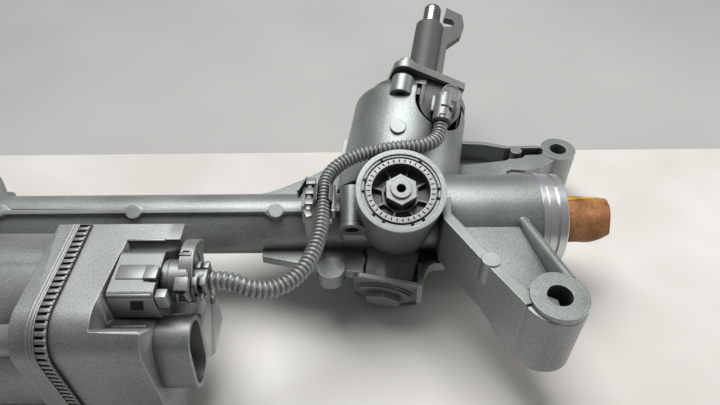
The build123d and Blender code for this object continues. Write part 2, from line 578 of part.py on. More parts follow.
with BuildPart() as pinion_screw_plug:
    bar(pinion_plane(LOWER_BOSS_END), PLUG_THREAD_R - SEAT_GAP, 4.5, 9)
    bar(pinion_plane(LOWER_BOSS_END - PLUG_FLANGE_THICK), PLUG_FLANGE_R, PLUG_FLANGE_THICK)
    with BuildSketch(pinion_plane(PLUG_BOTTOM)) as plug_hex:
        RegularPolygon(PLUG_HEX / 2, 6, major_radius=False)
    extrude(plug_hex.sketch, amount=LOWER_BOSS_END - PLUG_FLANGE_THICK - PLUG_BOTTOM)
finish(pinion_screw_plug, "pinion_screw_plug")

with BuildPart() as flux_ring:
    bar(pinion_plane(PINION_TOP), 22.0, 1.6, 8.0)
    bar(pinion_plane(PINION_TOP + 1.6), 22.0, 26, 20.6)
finish(flux_ring, "flux_ring")

# ---- Steering input shaft, its sleeve and its sensor magnet
with BuildPart() as input_shaft:
    bar(pinion_plane(PINION_TOP - 10), 6.93, 12)
    bar(pinion_plane(PINION_TOP + 2), SHAFT_R, 140)
    bar(pinion_plane(PINION_TOP + 142), TIP_R, SHAFT_TIP - PINION_TOP - 142 - 6)
    with BuildSketch(Plane(origin=PINION_FOOT, x_dir=YOKE_DIR, z_dir=YOKE_DIR.cross(PINION_DIR))) as dome:
        with BuildLine():
            Polyline((5, SHAFT_TIP), (0, SHAFT_TIP), (0, SHAFT_TIP - 6), (TIP_R, SHAFT_TIP - 6))
            ThreePointArc((TIP_R, SHAFT_TIP - 6), (TIP_R - 0.7, SHAFT_TIP - 2.2), (5, SHAFT_TIP))
        make_face()
    revolve(dome.sketch, axis=Axis(PINION_FOOT, PINION_DIR))
    bar(pinion_plane(PINION_TOP - 10), 3.0, 50, mode=Mode.SUBTRACT)
finish(input_shaft, "input_shaft")

with BuildPart() as magnet_ring:
    bar(pinion_plane(58), 18.5, 14, SHAFT_R)
finish(magnet_ring, "magnet_ring")

SLEEVE_FIN_REACH = 21.0
SLEEVE_PLANE = Plane(origin=PINION_FOOT, x_dir=PINION_SIDE, z_dir=PINION_SIDE.cross(PINION_DIR))
with BuildPart() as alignment_sleeve:
    bar(pinion_plane(SLEEVE_START), SLEEVE_R, SLEEVE_END - SLEEVE_START)
    with BuildSketch(SLEEVE_PLANE) as fin:
        with BuildLine():
            Polyline((6, SLEEVE_START + 2), (17.5, SLEEVE_START + 2), (17.5, 178), (28, 190), (30, 202),
                     (27, 214), (12, 220), (11, 208), (19, 207), (21.5, 203), (19, 199), (6, 197), close=True)
        make_face()
    extrude(fin.sketch, amount=3.5, both=True)
    bar(pinion_plane(SLEEVE_START), SHAFT_R + 0.02, SHAFT_TIP, mode=Mode.SUBTRACT)
finish(alignment_sleeve, "alignment_sleeve")

# ---- Yoke pressed on the back of the rack
with BuildPart() as yoke:
    bar(yoke_plane(6), YOKE_R - 0.05, YOKE_HEAD - 6)
    bar(across(PINION_X - 30), RACK_R + 0.2 + LINER_WALL, 60, mode=Mode.SUBTRACT)
    bar(yoke_plane(YOKE_HEAD - 12), 10.0, 12, mode=Mode.SUBTRACT)
    with BuildSketch(yoke_plane(29)) as ring_groove:
        Circle(YOKE_R + 1)
        Circle(YOKE_R - 2.2, mode=Mode.SUBTRACT)
    extrude(ring_groove.sketch, amount=2.4, mode=Mode.SUBTRACT)
finish(yoke, "yoke")

with BuildPart() as yoke_liner:
    bar(across(PINION_X - 15), RACK_R + 0.2 + LINER_WALL, 30, RACK_R + 0.2)
    with BuildSketch(yoke_plane(6)) as liner_limit:
        Circle(YOKE_R - 1)
    extrude(liner_limit.sketch, amount=30, mode=Mode.INTERSECT)
finish(yoke_liner, "yoke_liner")

with BuildPart() as yoke_o_ring:
    bar(yoke_plane(29.1), YOKE_R - 0.02, 2.2, YOKE_R - 2.2)
finish(yoke_o_ring, "yoke_o_ring")

SPRING_R, SPRING_WIRE, SPRING_TURNS = 7.2, 1.5, 3
with BuildPart() as yoke_spring:
    spring_height = YOKE_CAP_BOTTOM - (YOKE_HEAD - 12) - 2 * SPRING_WIRE - 0.3
    spring_seat = yoke_plane(YOKE_HEAD - 12 + SPRING_WIRE + 0.15).origin
    with BuildLine() as coil:
        Helix(spring_height / SPRING_TURNS, spring_height, SPRING_R, center=spring_seat, direction=YOKE_DIR)
    with BuildSketch(Plane(origin=coil.line @ 0, z_dir=coil.line % 0)) as wire:
        RegularPolygon(SPRING_WIRE, 8)
    sweep(wire.sketch, path=coil.line)
finish(yoke_spring, "yoke_spring")

CAP_RIBS = 8
CAP_TURN = 27.4
CAP_RIM = YOKE_TOP - 1.0
CAP_RING_R = 19.4
CAP_FLOOR = YOKE_CAP_BOTTOM + 4
CAP_WALL_TOP = CAP_RIM - 7.6
CAP_HEX_TOP = CAP_RIM + 1.6
CAP_COLLAR_TOP = CAP_RIM + 3.2
with BuildPart() as yoke_cap:
    bar(yoke_plane(YOKE_CAP_BOTTOM), YOKE_CAP_R - SEAT_GAP, CAP_RIM - YOKE_CAP_BOTTOM)
    bar(yoke_plane(CAP_FLOOR), CAP_RING_R, YOKE_TOP, mode=Mode.SUBTRACT)
    bar(yoke_plane(CAP_RIM - 1.2), 24.6, 5, 23.4, mode=Mode.SUBTRACT)
    with BuildSketch(yoke_plane(CAP_FLOOR - 1)) as rib_star:
        with PolarLocations(15.2, CAP_RIBS, start_angle=CAP_TURN):
            Rectangle(9.4, 1.5)
    extrude(rib_star.sketch, amount=CAP_WALL_TOP - CAP_FLOOR + 1)
    with BuildSketch(yoke_plane(CAP_FLOOR - 1)) as outer_wall:
        RegularPolygon(13.2, CAP_RIBS, rotation=CAP_TURN)
        RegularPolygon(11.6, CAP_RIBS, rotation=CAP_TURN, mode=Mode.SUBTRACT)
    extrude(outer_wall.sketch, amount=CAP_WALL_TOP - CAP_FLOOR + 1)
    with BuildSketch(yoke_plane(CAP_FLOOR - 1)) as cap_hexagon:
        RegularPolygon(9.75, 6, major_radius=False, rotation=30)
    extrude(cap_hexagon.sketch, amount=CAP_HEX_TOP - CAP_FLOOR + 1)
    bar(yoke_plane(CAP_HEX_TOP - 1), 6.75, CAP_COLLAR_TOP - CAP_HEX_TOP + 1)
    bar(yoke_plane(YOKE_CAP_BOTTOM + 6), 3.1, 30, mode=Mode.SUBTRACT)
finish(yoke_cap, "yoke_cap")

# ---- Torque sensor cover with its front plate
with BuildPart() as sensor_cover:
    bar(pinion_plane(TOWER_TOP - 8), CHAMBER_R - 0.3, 8)
    bar(pinion_plane(TOWER_TOP), 41.0, 6)
    with BuildSketch(pinion_plane(TOWER_TOP + 6)) as flange:
        Circle(31)
        with Locations(*EAR_POINTS):
            Circle(9.5)
        with PolarLocations(PLATE_FACE - 1, 1, start_angle=PLATE_TURN):
            with Locations((0, PLATE_SHIFT)):
                Rectangle(5, 2 * PLATE_HALF_WIDTH + 2)
        make_hull()
    extrude(flange.sketch, amount=6)
    extrude(plate_outline(10, 0), amount=PLATE_FACE - 10)
    extrude(plate_outline(PLATE_FACE - PLATE_RECESS, -2.6), amount=3, mode=Mode.SUBTRACT)
    bar(pinion_plane(20), 29.5, COVER_TOP - 26, mode=Mode.SUBTRACT)
    bar(pinion_plane(20), SHAFT_R + 0.6, COVER_TOP, mode=Mode.SUBTRACT)
    bar(pinion_plane(COVER_TOP - 6), 16.0, 10, mode=Mode.SUBTRACT)
    for ear in EAR_POINTS:
        bar(pinion_plane(TOWER_TOP - 2) * Location((*ear, 0)), EAR_SCREW_R + 0.1, 20, mode=Mode.SUBTRACT)
finish(sensor_cover, "sensor_cover")

with BuildPart() as sensor_bolts:
    for ear in EAR_POINTS:
        bar(pinion_plane(COVER_TOP) * Location((*ear, 0)), 5.8, 5.0)
        bar(pinion_plane(COVER_TOP - 19) * Location((*ear, 0)), EAR_SCREW_R, 19)
finish(sensor_bolts, "sensor_bolts")

with BuildPart() as input_seal:
    bar(pinion_plane(COVER_TOP - 6), 16.0 - SEAT_GAP, 5.5, SHAFT_R + 0.05)
finish(input_seal, "input_seal")

with BuildPart() as sensor_board:
    bar(pinion_plane(84), 29.0, 1.6, 23.0)
    bar(pinion_plane(85.6), 29.0, COVER_TOP - 6 - 85.6, 27.0)
finish(sensor_board, "sensor_board")

# ---- Connector on the sensor plate
CONNECTOR_OUT = PLATE_FACE + 10.0
CONNECTOR_END = -20.5
with BuildPart() as sensor_connector:
    bar(plate_plane(PLATE_FACE - PLATE_RECESS) * Location((2.5, 4.5, 0)), 7.2, 17.5)
    outlet = Plane(origin=plate_plane(CONNECTOR_OUT).from_local_coords(Vector(-0.3, CONNECTOR_END, 0)),
                   x_dir=PLATE_SIDE, z_dir=PINION_DIR)
    bar(outlet, 6.8, 24)
    with BuildSketch(plate_plane(PLATE_FACE - PLATE_RECESS)) as foot:
        with Locations((0, -2)):
            Rectangle(10, 12)
    extrude(foot.sketch, amount=12)
finish(sensor_connector, "sensor_connector")

# ---- Right-hand bush of the rack
with BuildPart() as rack_bush:
    bar(across(BUSH_SEAT_LEFT + 0.2), BUSH_SEAT_R - SEAT_GAP, 12, RACK_R + RUNNING_GAP)
finish(rack_bush, "rack_bush")

# ---- Ball nut, its bearing and the belt drive
DRIVEN_R = BELT_PITCH * DRIVEN_TEETH / 2 / pi
DRIVE_R = BELT_PITCH * DRIVE_TEETH / 2 / pi
PULLEY_WIDTH = BELT_WIDTH + 4

with BuildPart() as ball_nut:
    bar(across(-510), NUT_R, 66, 17.0)
    bar(across(-474), NUT_R + 4, 3, 17.0)
finish(ball_nut, "ball_nut")

with BuildPart() as driven_pulley:
    bar(across(BELT_RIGHT - BELT_WIDTH - 2), DRIVEN_R - 1.4, PULLEY_WIDTH)
    bar(across(BELT_RIGHT), DRIVEN_R + 1.6, 2)
    bar(across(BELT_RIGHT - BELT_WIDTH - 2), DRIVEN_R + 1.6, 2)
    bar(across(BELT_RIGHT - BELT_WIDTH - 3), 34, 18, mode=Mode.SUBTRACT)
    bar(across(BELT_RIGHT - BELT_WIDTH - 3), NUT_R, 40, mode=Mode.SUBTRACT)
finish(driven_pulley, "driven_pulley")

with BuildPart() as nut_bearing:
    bar(across(-492), 40 - SEAT_GAP, 18, NUT_R + 0.05)
finish(nut_bearing, "nut_bearing")

with BuildPart() as bearing_ring:
    bar(across(-474), 43.9, 4, 34)
finish(bearing_ring, "bearing_ring")

BELT_GAP = 0.4
with BuildPart() as drive_belt:
    with BuildSketch(across(BELT_RIGHT - BELT_WIDTH + 0.5)) as belt_section:
        Circle(DRIVEN_R + BELT_GAP - 1.4 + BELT_THICK)
        with Locations((MOTOR_Y, MOTOR_Z)):
            Circle(DRIVE_R + BELT_GAP - 1.4 + BELT_THICK)
        make_hull()
    with BuildSketch(across(BELT_RIGHT - BELT_WIDTH + 0.5)) as belt_inside:
        Circle(DRIVEN_R + BELT_GAP - 1.4)
        with Locations((MOTOR_Y, MOTOR_Z)):
            Circle(DRIVE_R + BELT_GAP - 1.4)
        make_hull()
    extrude(belt_section.sketch - belt_inside.sketch, amount=BELT_WIDTH - 1)
finish(drive_belt, "drive_belt")

# ---- Belt case: left-hand casting with the nut seat, the left tube and two lugs
with BuildPart() as belt_case:
    with BuildSketch(across(BELT_CASE_LEFT)) as case_outline:
        Circle(BELT_CASE_R)
        with Locations((MOTOR_Y, MOTOR_Z)):
            Circle(DRIVE_CASE_R)
        make_hull()
        with Locations(*CASE_SCREWS):
            Circle(CASE_BOSS_R)
    extrude(case_outline.sketch, amount=PLATE_LEFT - BELT_CASE_LEFT)
    with BuildSketch(Plane.XZ) as neck_profile:
        with BuildLine():
            Polyline((BELT_CASE_LEFT, 20), (BELT_CASE_LEFT, 46), (-500, 46), (LEFT_CYLINDER_START, RIGHT_CYLINDER_R),
                     (LEFT_BOOT_END + 17, RIGHT_CYLINDER_R), (LEFT_BOOT_END + 17, 33.6), (LEFT_BOOT_END + 13.6, 33.6),
                     (LEFT_BOOT_END + 13.6, 32), (LEFT_BOOT_END + 12.4, 32), (LEFT_BOOT_END + 12.4, 33),
                     (LEFT_BOOT_END + 7.4, 33), (LEFT_BOOT_END + 7.4, BOOT_GROOVE_R),
                     (LEFT_BOOT_END + 5.5, BOOT_GROOVE_R), (LEFT_BOOT_END + 5.5, 33),
                     (LEFT_BOOT_END + END_CHAMFER, 33), (LEFT_BOOT_END, 33 - END_CHAMFER), (LEFT_BOOT_END, 20),
                     close=True)
        make_face()
    revolve(neck_profile.sketch, axis=Axis.X)
    for centre in (LEFT_FRONT_LUG, LEFT_REAR_LUG):
        lug(centre, REAR_LUG_SPAN, REAR_LUG_R)
        side = 1 if centre[1] > 0 else -1
        slab([(-585, side * 10), (centre[0] - 14, centre[1]), (centre[0], centre[1] + side * 4),
              (centre[0] + 14, centre[1]), (-525, side * 10)], -30, -14)
    with BuildSketch(across(BELT_CASE_LEFT + CHAMBER_WALL)) as chamber:
        Circle(BELT_CASE_R - CHAMBER_WALL)
        with Locations((MOTOR_Y, MOTOR_Z)):
            Circle(DRIVE_CASE_R - CHAMBER_WALL)
        make_hull()
    extrude(chamber.sketch, amount=60, mode=Mode.SUBTRACT)
    bar(across(-492), 40, 30, mode=Mode.SUBTRACT)
    bar(across(-516), 29, 30, mode=Mode.SUBTRACT)
    bar(across(LEFT_BOOT_END), 24, 120, mode=Mode.SUBTRACT)
    for centre in (LEFT_FRONT_LUG, LEFT_REAR_LUG):
        lug_hole(centre, REAR_LUG_SPAN, REAR_HOLE_R)
    for place in CASE_SCREWS:
        bar(across(BELT_CASE_LEFT - 1) * Location((*place, 0)), 3.3, 60, mode=Mode.SUBTRACT)
finish(belt_case, "belt_case")

with BuildPart() as case_screws:
    for place in CASE_SCREWS:
        bar(across(BELT_CASE_LEFT - 6) * Location((*place, 0)), 6, 6)
        bar(across(BELT_CASE_LEFT) * Location((*place, 0)), 3.2, PLATE_LEFT - BELT_CASE_LEFT + 7)
finish(case_screws, "case_screws")

# ---- Motor: can, stator, rotor and bearings
MOTOR_LEFT = TUBE_LEFT
SHIELD = (-322.0, -313.0)
PIN_R = 1.7
PIN_LENGTH = 21.0
PIN_CIRCLE = MOTOR_R + 5.8
PIN_ANGLE = 138.0
PIN_PLANE = Plane(origin=(MOTOR_SEAM - 10, MOTOR_Y + PIN_CIRCLE * cos(radians(PIN_ANGLE)),
                          MOTOR_Z + PIN_CIRCLE * sin(radians(PIN_ANGLE))), x_dir=(0, 1, 0), z_dir=(1, 0, 0))
CORNER_BOSS_R = 8.0
CORNER_BOSS_CIRCLE = MOTOR_R + 3.8
with BuildPart() as motor_housing:
    bar(motor_plane(MOTOR_LEFT), MOTOR_R, MOTOR_SEAM - 3 - MOTOR_LEFT)
    with BuildSketch(motor_plane(MOTOR_LEFT)) as motor_flange:
        Circle(MOTOR_R)
        for angle in MOTOR_BOLT_ANGLES:
            with PolarLocations(MOTOR_BOLT_CIRCLE, 1, start_angle=angle):
                Circle(MOTOR_EAR_R)
    extrude(motor_flange.sketch, amount=9)
    extrude(rounded_square(motor_plane(MOTOR_SEAM - 9), MOTOR_R + 1.5, 21), amount=9)
    corner = (CORNER_BOSS_CIRCLE * cos(radians(PIN_ANGLE)), CORNER_BOSS_CIRCLE * sin(radians(PIN_ANGLE)), 0)
    bar(motor_plane(MOTOR_SEAM - 25) * Location(corner), CORNER_BOSS_R, 25)
    bar(motor_plane(MOTOR_LEFT + 8), MOTOR_R - MOTOR_WALL, 200, mode=Mode.SUBTRACT)
    bar(PIN_PLANE, PIN_R + 0.03, PIN_LENGTH, mode=Mode.SUBTRACT)
    for place in MOTOR_BOLT_PLACES:
        bar(across(MOTOR_LEFT + 9) * Location((*place, 0)), 5.3, 7, mode=Mode.SUBTRACT)
    bar(motor_plane(MOTOR_LEFT - 1), 13, 12, mode=Mode.SUBTRACT)
    for place in MOTOR_BOLT_PLACES:
        bar(across(MOTOR_LEFT - 1) * Location((*place, 0)), 4.1, 12, mode=Mode.SUBTRACT)
finish(motor_housing, "motor_housing")

with BuildPart() as motor_bolts:
    for place in MOTOR_BOLT_PLACES:
        bar(across(MOTOR_LEFT + 9) * Location((*place, 0)), 5.0, 6)
        bar(across(PLATE_LEFT + 0.5) * Location((*place, 0)), 4.0, MOTOR_LEFT - PLATE_LEFT + 8.5)
finish(motor_bolts, "motor_bolts")

with BuildPart() as motor_stator:
    with BuildSketch(motor_plane(-405)) as stator_section:
        Circle(MOTOR_R - MOTOR_WALL - SEAT_GAP)
        Circle(28, mode=Mode.SUBTRACT)
        with PolarLocations(35.5, 12):
            RectangleRounded(12, 8, 2, mode=Mode.SUBTRACT)
    extrude(stator_section.sketch, amount=80)
finish(motor_stator, "motor_stator")

with BuildPart() as stator_windings:
    with BuildSketch(motor_plane(-411)) as coil_section:
        with PolarLocations(35.5, 12):
            RectangleRounded(11.6, 7.6, 1.8)
    extrude(coil_section.sketch, amount=88)
    bar(motor_plane(-411), 42, 5.8, 29)
finish(stator_windings, "stator_windings")

with BuildPart() as motor_end_shield:
    bar(motor_plane(SHIELD[0]), MOTOR_R - MOTOR_WALL - SEAT_GAP, SHIELD[1] - SHIELD[0], 13)
finish(motor_end_shield, "motor_end_shield")

with BuildPart() as rotor_bearings:
    bar(motor_plane(MOTOR_LEFT), 13 - SEAT_GAP, 8, 7.05)
    bar(motor_plane(SHIELD[0]), 13 - SEAT_GAP, 8, 7.05)
finish(rotor_bearings, "rotor_bearings")

with BuildPart() as rotor_shaft:
    bar(motor_plane(-472), 7.0, 160)
finish(rotor_shaft, "rotor_shaft")

with BuildPart() as rotor_magnets:
    bar(motor_plane(-403), 27.0, 76, 7.0)
finish(rotor_magnets, "rotor_magnets")

with BuildPart() as drive_pulley:
    bar(motor_plane(BELT_RIGHT - BELT_WIDTH - 2), DRIVE_R - 1.4, PULLEY_WIDTH, 7.0)
    bar(motor_plane(BELT_RIGHT), DRIVE_R + 1.6, 2, 7.0)
    bar(motor_plane(BELT_RIGHT - BELT_WIDTH - 2), DRIVE_R + 1.6, 2, 7.0)
finish(drive_pulley, "drive_pulley")

# ---- Control unit on the motor's end
COVER_RIGHT = -248.0
COVER_HALF = MOTOR_R + 0.5
COVER_WALL = 3.0
with BuildPart() as control_cover:
    extrude(rounded_square(motor_plane(MOTOR_SEAM), COVER_HALF, 20), amount=COVER_RIGHT - MOTOR_SEAM)
    # Rear block, plug recess and the block that carries the end plate.
    with BuildSketch(across(COVER_RIGHT)) as rear_block:
        with BuildLine():
            Polyline((-43, 56), (-50, 62.5), (-80, 62.5), (-80, 24), (-43, 24), close=True)
        make_face()
    extrude(rear_block.sketch, amount=8)
    with BuildSketch(across(COVER_RIGHT)) as end_block:
        with BuildLine():
            Polyline((-72, 20), (-100, 25), (-106, 18), (-106, -12), (-98, -20), (-72, -20), close=True)
        make_face()
    extrude(end_block.sketch, amount=17)
    extrude(rounded_square(motor_plane(MOTOR_SEAM - 1), COVER_HALF - COVER_WALL, 17), amount=28, mode=Mode.SUBTRACT)
    slab([(-269.5, -84.5), (-230, -84.5), (-230, -76), (-269.5, -76)], 57, 80, mode=Mode.SUBTRACT)
    slab([(-269.5, -117), (-230, -117), (-230, -84.5), (-269.5, -84.5)], 42, 80, mode=Mode.SUBTRACT)
    with BuildSketch(Plane.YZ.offset(-273)) as pocket:
        with BuildLine():
            Polyline((-137, 62), (-137, 80), (-117, 80), (-117, 44), (-122, 44), close=True)
        make_face()
    extrude(pocket.sketch, amount=30, mode=Mode.SUBTRACT)
finish(control_cover, "control_cover")

with BuildPart() as signal_socket:
    with BuildSketch(Plane.YZ.offset(-269)) as socket_section:
        with Locations((-100.8, 53.4)):
            RectangleRounded(32, 22, 4)
    extrude(socket_section.sketch, amount=24)
    with BuildSketch(Plane.YZ.offset(-246)) as socket_mouth:
        with Locations((-100.8, 53.4)):
            RectangleRounded(26, 16, 3)
    extrude(socket_mouth.sketch, amount=20, mode=Mode.SUBTRACT)
finish(signal_socket, "signal_socket")

PLUG_Y, PLUG_Z = -96.5, 51.5
OUTLET_END = -221.5
with BuildPart() as signal_plug:
    bar(Plane(origin=(-245, PLUG_Y, PLUG_Z), x_dir=(0, 1, 0), z_dir=(1, 0, 0)), 11.5, 8)
finish(signal_plug, "signal_plug")

with BuildPart() as plug_lever:
    bar(Plane(origin=(-237, PLUG_Y + 9, PLUG_Z - 3), x_dir=(0, 1, 0), z_dir=(1, 0, 0)), 18, 2.5)
finish(plug_lever, "plug_lever")

with BuildPart() as cable_outlet:
    bar(Plane(origin=(-234.5, PLUG_Y, PLUG_Z), x_dir=(0, 1, 0), z_dir=(1, 0, 0)), 7.0, OUTLET_END + 234.5)
finish(cable_outlet, "cable_outlet")

POWER_Y, POWER_Z = -122.0, 20.0
POWER_PLANE = Plane(origin=(COVER_RIGHT, POWER_Y, POWER_Z), x_dir=(0, 0.2, 0.98), z_dir=(1, 0, 0))
with BuildPart() as power_socket:
    with BuildSketch(POWER_PLANE) as socket_outline:
        SlotOverall(46, 25)
    extrude(socket_outline.sketch, amount=19)
    with BuildSketch(POWER_PLANE.offset(3)) as socket_hollow:
        SlotOverall(41, 20)
    extrude(socket_hollow.sketch, amount=20, mode=Mode.SUBTRACT)
finish(power_socket, "power_socket")

with BuildPart() as power_pins:
    with BuildSketch(POWER_PLANE.offset(3)) as pin_section:
        with Locations((-10, 0), (10, 0)):
            Rectangle(7, 1.6)
    extrude(pin_section.sketch, amount=10)
finish(power_pins, "power_pins")

with BuildPart() as end_plate_screw:
    bar(across(COVER_RIGHT + 17) * Location((-80, 12, 0)), 3.0, 2)
finish(end_plate_screw, "end_plate_screw")

with BuildPart() as circuit_board:
    extrude(rounded_square(motor_plane(-292), COVER_HALF - COVER_WALL - SEAT_GAP, 17), amount=1.6)
finish(circuit_board, "circuit_board")

with BuildPart() as capacitors:
    for spot in ((-20, 16), (0, 22), (20, 16)):
        bar(motor_plane(-290.4) * Location((*spot, 0)), 8, 12)
finish(capacitors, "capacitors")

with BuildPart() as crimp_band:
    extrude(rounded_square(motor_plane(MOTOR_SEAM), COVER_HALF + 2.5, 22.5, COVER_HALF + SEAT_GAP), amount=9)
finish(crimp_band, "crimp_band")

with BuildPart() as locating_pin:
    bar(PIN_PLANE, PIN_R, PIN_LENGTH)
finish(locating_pin, "locating_pin")

# ---- Sensor harness from the sensor connector to the control unit
CONDUIT_R = 5.2
CONDUIT_FIRST_RUN = 8.0
CONNECTOR_EXIT = outlet.origin
FIRST_CORNER = CONNECTOR_EXIT - PINION_DIR * CONDUIT_FIRST_RUN
CLIP_RUN = ((-162.3, -6, 40.2), (-162.3, -31, 40.2))
CONDUIT_POINTS = [
    tuple(CONNECTOR_EXIT), tuple(FIRST_CORNER), (-82.6, 33, 48.2), (-88.6, 27.6, 48.9), (-97.5, 24.2, 49.6),
    (-108.5, 22.8, 49.8), (-120.5, 22.4, 48.3), (-132.5, 22, 46), (-143.5, 19.2, 43.8), (-153, 13.2, 42),
    (-159.5, 4.5, 40.8), *CLIP_RUN, (-162.9, -46, 39.9), (-165.1, -61, 39.4), (-169.7, -76, 39), (-177.5, -88, 39.3),
    (-187.8, -95.5, 41), (-198.8, -98.5, 45), (-210, PLUG_Y, PLUG_Z), (OUTLET_END, PLUG_Y, PLUG_Z)]


def corner_radii(points):
    """Largest tangent radius at each inner corner, from the runs beside it."""
    vectors = [Vector(*p) for p in points]
    radii = []
    for before, here, after in zip(vectors, vectors[1:], vectors[2:]):
        turn = (here - before).get_angle(after - here)
        run = min((here - before).length, (after - here).length)
        radii.append(0.45 * run / tan(radians(turn / 2)))
    return radii


RADII = corner_radii(CONDUIT_POINTS)
print("conduit radii", [round(r, 1) for r in RADII])
with BuildPart() as conduit:
    with BuildLine() as route:
        FilletPolyline(*CONDUIT_POINTS, radius=RADII)
    with BuildSketch(Plane(origin=route.line @ 0, z_dir=route.line % 0)) as conduit_section:
        Circle(CONDUIT_R)
    sweep(conduit_section.sketch, path=route.line)
finish(conduit, "conduit")
print("conduit volume", conduit.part.volume, "against", pi * CONDUIT_R ** 2 * sum(e.length for e in route.line.edges()))

with BuildPart() as conduit_clip:
    clip_plane = Plane(origin=Vector(*CLIP_RUN[1]) + Vector(0, 5, 0), x_dir=(1, 0, 0), z_dir=(0, 1, 0))
    bar(clip_plane, CONDUIT_R + 2.0, 15, CONDUIT_R + 0.1)
    slab([(-177, -24), (-168, -24), (-168, -4), (-177, -4)], CLIP_BOSS_TOP, 38)
    bar(clip_plane.offset(-5), CONDUIT_R + 0.1, 30, mode=Mode.SUBTRACT)
    slab([(-166.3, -35), (-158.3, -35), (-158.3, 5), (-166.3, 5)], CLIP_RUN[0][2], 60, mode=Mode.SUBTRACT)
finish(conduit_clip, "conduit_clip")
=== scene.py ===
# %% [markdown]
# # Electric steering rack
# A steering rack turns the steering wheel's turn into a sideways push on the front wheels. It has a cast housing,
# a rack bar that slides in it, a pinion in a leaning tower, and a motor with its control unit beside the tube. The
# solids come from the CAD model as a fixed frame. This lesson gives each its real finish and adds the fine parts,
# such as the corrugated conduit, the paper on the bar's end and the plugs' latches.

# %% Fixed frame
import math
from math import radians

import bmesh
import bpy
from mathutils import Matrix, Vector


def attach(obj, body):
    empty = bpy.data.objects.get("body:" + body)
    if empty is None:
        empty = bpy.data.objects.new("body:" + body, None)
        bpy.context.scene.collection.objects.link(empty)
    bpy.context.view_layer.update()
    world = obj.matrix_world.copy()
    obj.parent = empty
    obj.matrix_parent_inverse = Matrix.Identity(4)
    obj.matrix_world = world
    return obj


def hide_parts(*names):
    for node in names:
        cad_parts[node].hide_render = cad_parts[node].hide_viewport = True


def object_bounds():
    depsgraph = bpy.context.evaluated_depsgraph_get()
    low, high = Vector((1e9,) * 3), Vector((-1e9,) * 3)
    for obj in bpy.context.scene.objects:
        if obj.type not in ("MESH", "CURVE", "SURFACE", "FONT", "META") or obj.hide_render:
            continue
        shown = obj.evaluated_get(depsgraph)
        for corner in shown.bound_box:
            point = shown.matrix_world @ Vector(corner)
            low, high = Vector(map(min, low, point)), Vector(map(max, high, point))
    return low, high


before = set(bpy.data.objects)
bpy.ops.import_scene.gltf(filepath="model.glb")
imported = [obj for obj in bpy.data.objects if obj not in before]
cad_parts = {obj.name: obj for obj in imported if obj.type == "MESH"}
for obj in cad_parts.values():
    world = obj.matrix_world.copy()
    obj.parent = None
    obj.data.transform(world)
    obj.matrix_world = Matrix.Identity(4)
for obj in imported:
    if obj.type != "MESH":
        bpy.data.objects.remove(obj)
scene = bpy.context.scene
cad_box = [list(corner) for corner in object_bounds()]
print("solids", len(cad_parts), "box", cad_box)

# %% [markdown]
# ## Units and directions
# Blender works in metres and the parts are drawn in millimetres, so one value turns one into the other. The rack
# bar lies along X. The yoke tower points up and forwards, 67 degrees above the floor, and the pinion leans 11
# degrees to the right of the direction square to both. Two small functions put objects in the scene.

# %% Units and directions
MM = 0.001
YOKE_TILT, PINION_LEAN = radians(67), radians(11)
RIGHT = Vector((1, 0, 0))
YOKE_DIR = Vector((0, -math.cos(YOKE_TILT), math.sin(YOKE_TILT)))
BACK_DIR = Vector((0, math.sin(YOKE_TILT), math.cos(YOKE_TILT)))
PINION_DIR = RIGHT * math.sin(PINION_LEAN) + BACK_DIR * math.cos(PINION_LEAN)
PINION_SIDE = RIGHT * math.cos(PINION_LEAN) - BACK_DIR * math.sin(PINION_LEAN)
PINION_X, PINION_DEPTH = -111, 17.16
YOKE_FOOT = Vector((PINION_X, 0, 0)) * MM
PINION_FOOT = YOKE_FOOT - YOKE_DIR * PINION_DEPTH * MM


def axes(origin, x_axis, z_axis):
    """Matrix of a plane with local X and Z given, and its origin in metres."""
    x_axis = Vector(x_axis).normalized()
    z_axis = Vector(z_axis).normalized()
    y_axis = z_axis.cross(x_axis)
    return Matrix.Translation(origin) @ Matrix((x_axis, y_axis, z_axis)).transposed().to_4x4()


def linked(thing):
    """Puts an object in the scene, and gives it back."""
    scene.collection.objects.link(thing)
    return thing


def object_from(name, shape, material):
    """An object in the scene from a filled bmesh."""
    mesh = bpy.data.meshes.new(name)
    shape.to_mesh(mesh)
    shape.free()
    mesh.materials.append(material)
    return linked(bpy.data.objects.new(name, mesh))


def yoke_plane(height):
    """Plane square to the yoke axis, at a height in millimetres."""
    return axes(YOKE_FOOT + YOKE_DIR * height * MM, RIGHT, YOKE_DIR)

# %% [markdown]
# ## Camera
# The camera looks down on the pinion end from the front, as someone leaning over a bench would. A wide lens close
# by makes the near lug large and the tube run away quickly.

# %% Camera
CAMERA_PLACE = Vector((-0.138, -0.292, 0.295))
CAMERA_PITCH, CAMERA_ROLL = radians(43.5), radians(-0.5)
LENS_MM, NEAREST_SEEN = 28, 0.01

forwards = Vector((0, math.cos(CAMERA_PITCH), -math.sin(CAMERA_PITCH)))
upwards = Vector((0, math.sin(CAMERA_PITCH), math.cos(CAMERA_PITCH)))
camera_right = RIGHT * math.cos(CAMERA_ROLL) + upwards * math.sin(CAMERA_ROLL)
camera_data = bpy.data.cameras.new("camera")
camera_data.lens = LENS_MM
camera_data.clip_start = NEAREST_SEEN
camera = linked(bpy.data.objects.new("camera", camera_data))
camera.matrix_world = axes(CAMERA_PLACE, camera_right, -forwards)
scene.camera = camera
scene.view_settings.view_transform = "Standard"
print("camera at", CAMERA_PLACE)

# %% [markdown]
# ## Helpers for materials
# A colour is written as a hex value, as it is seen on a screen, and one function makes it linear for the renderer.
# Another adds a node with its settings, and links each socket that is given as another node's output.

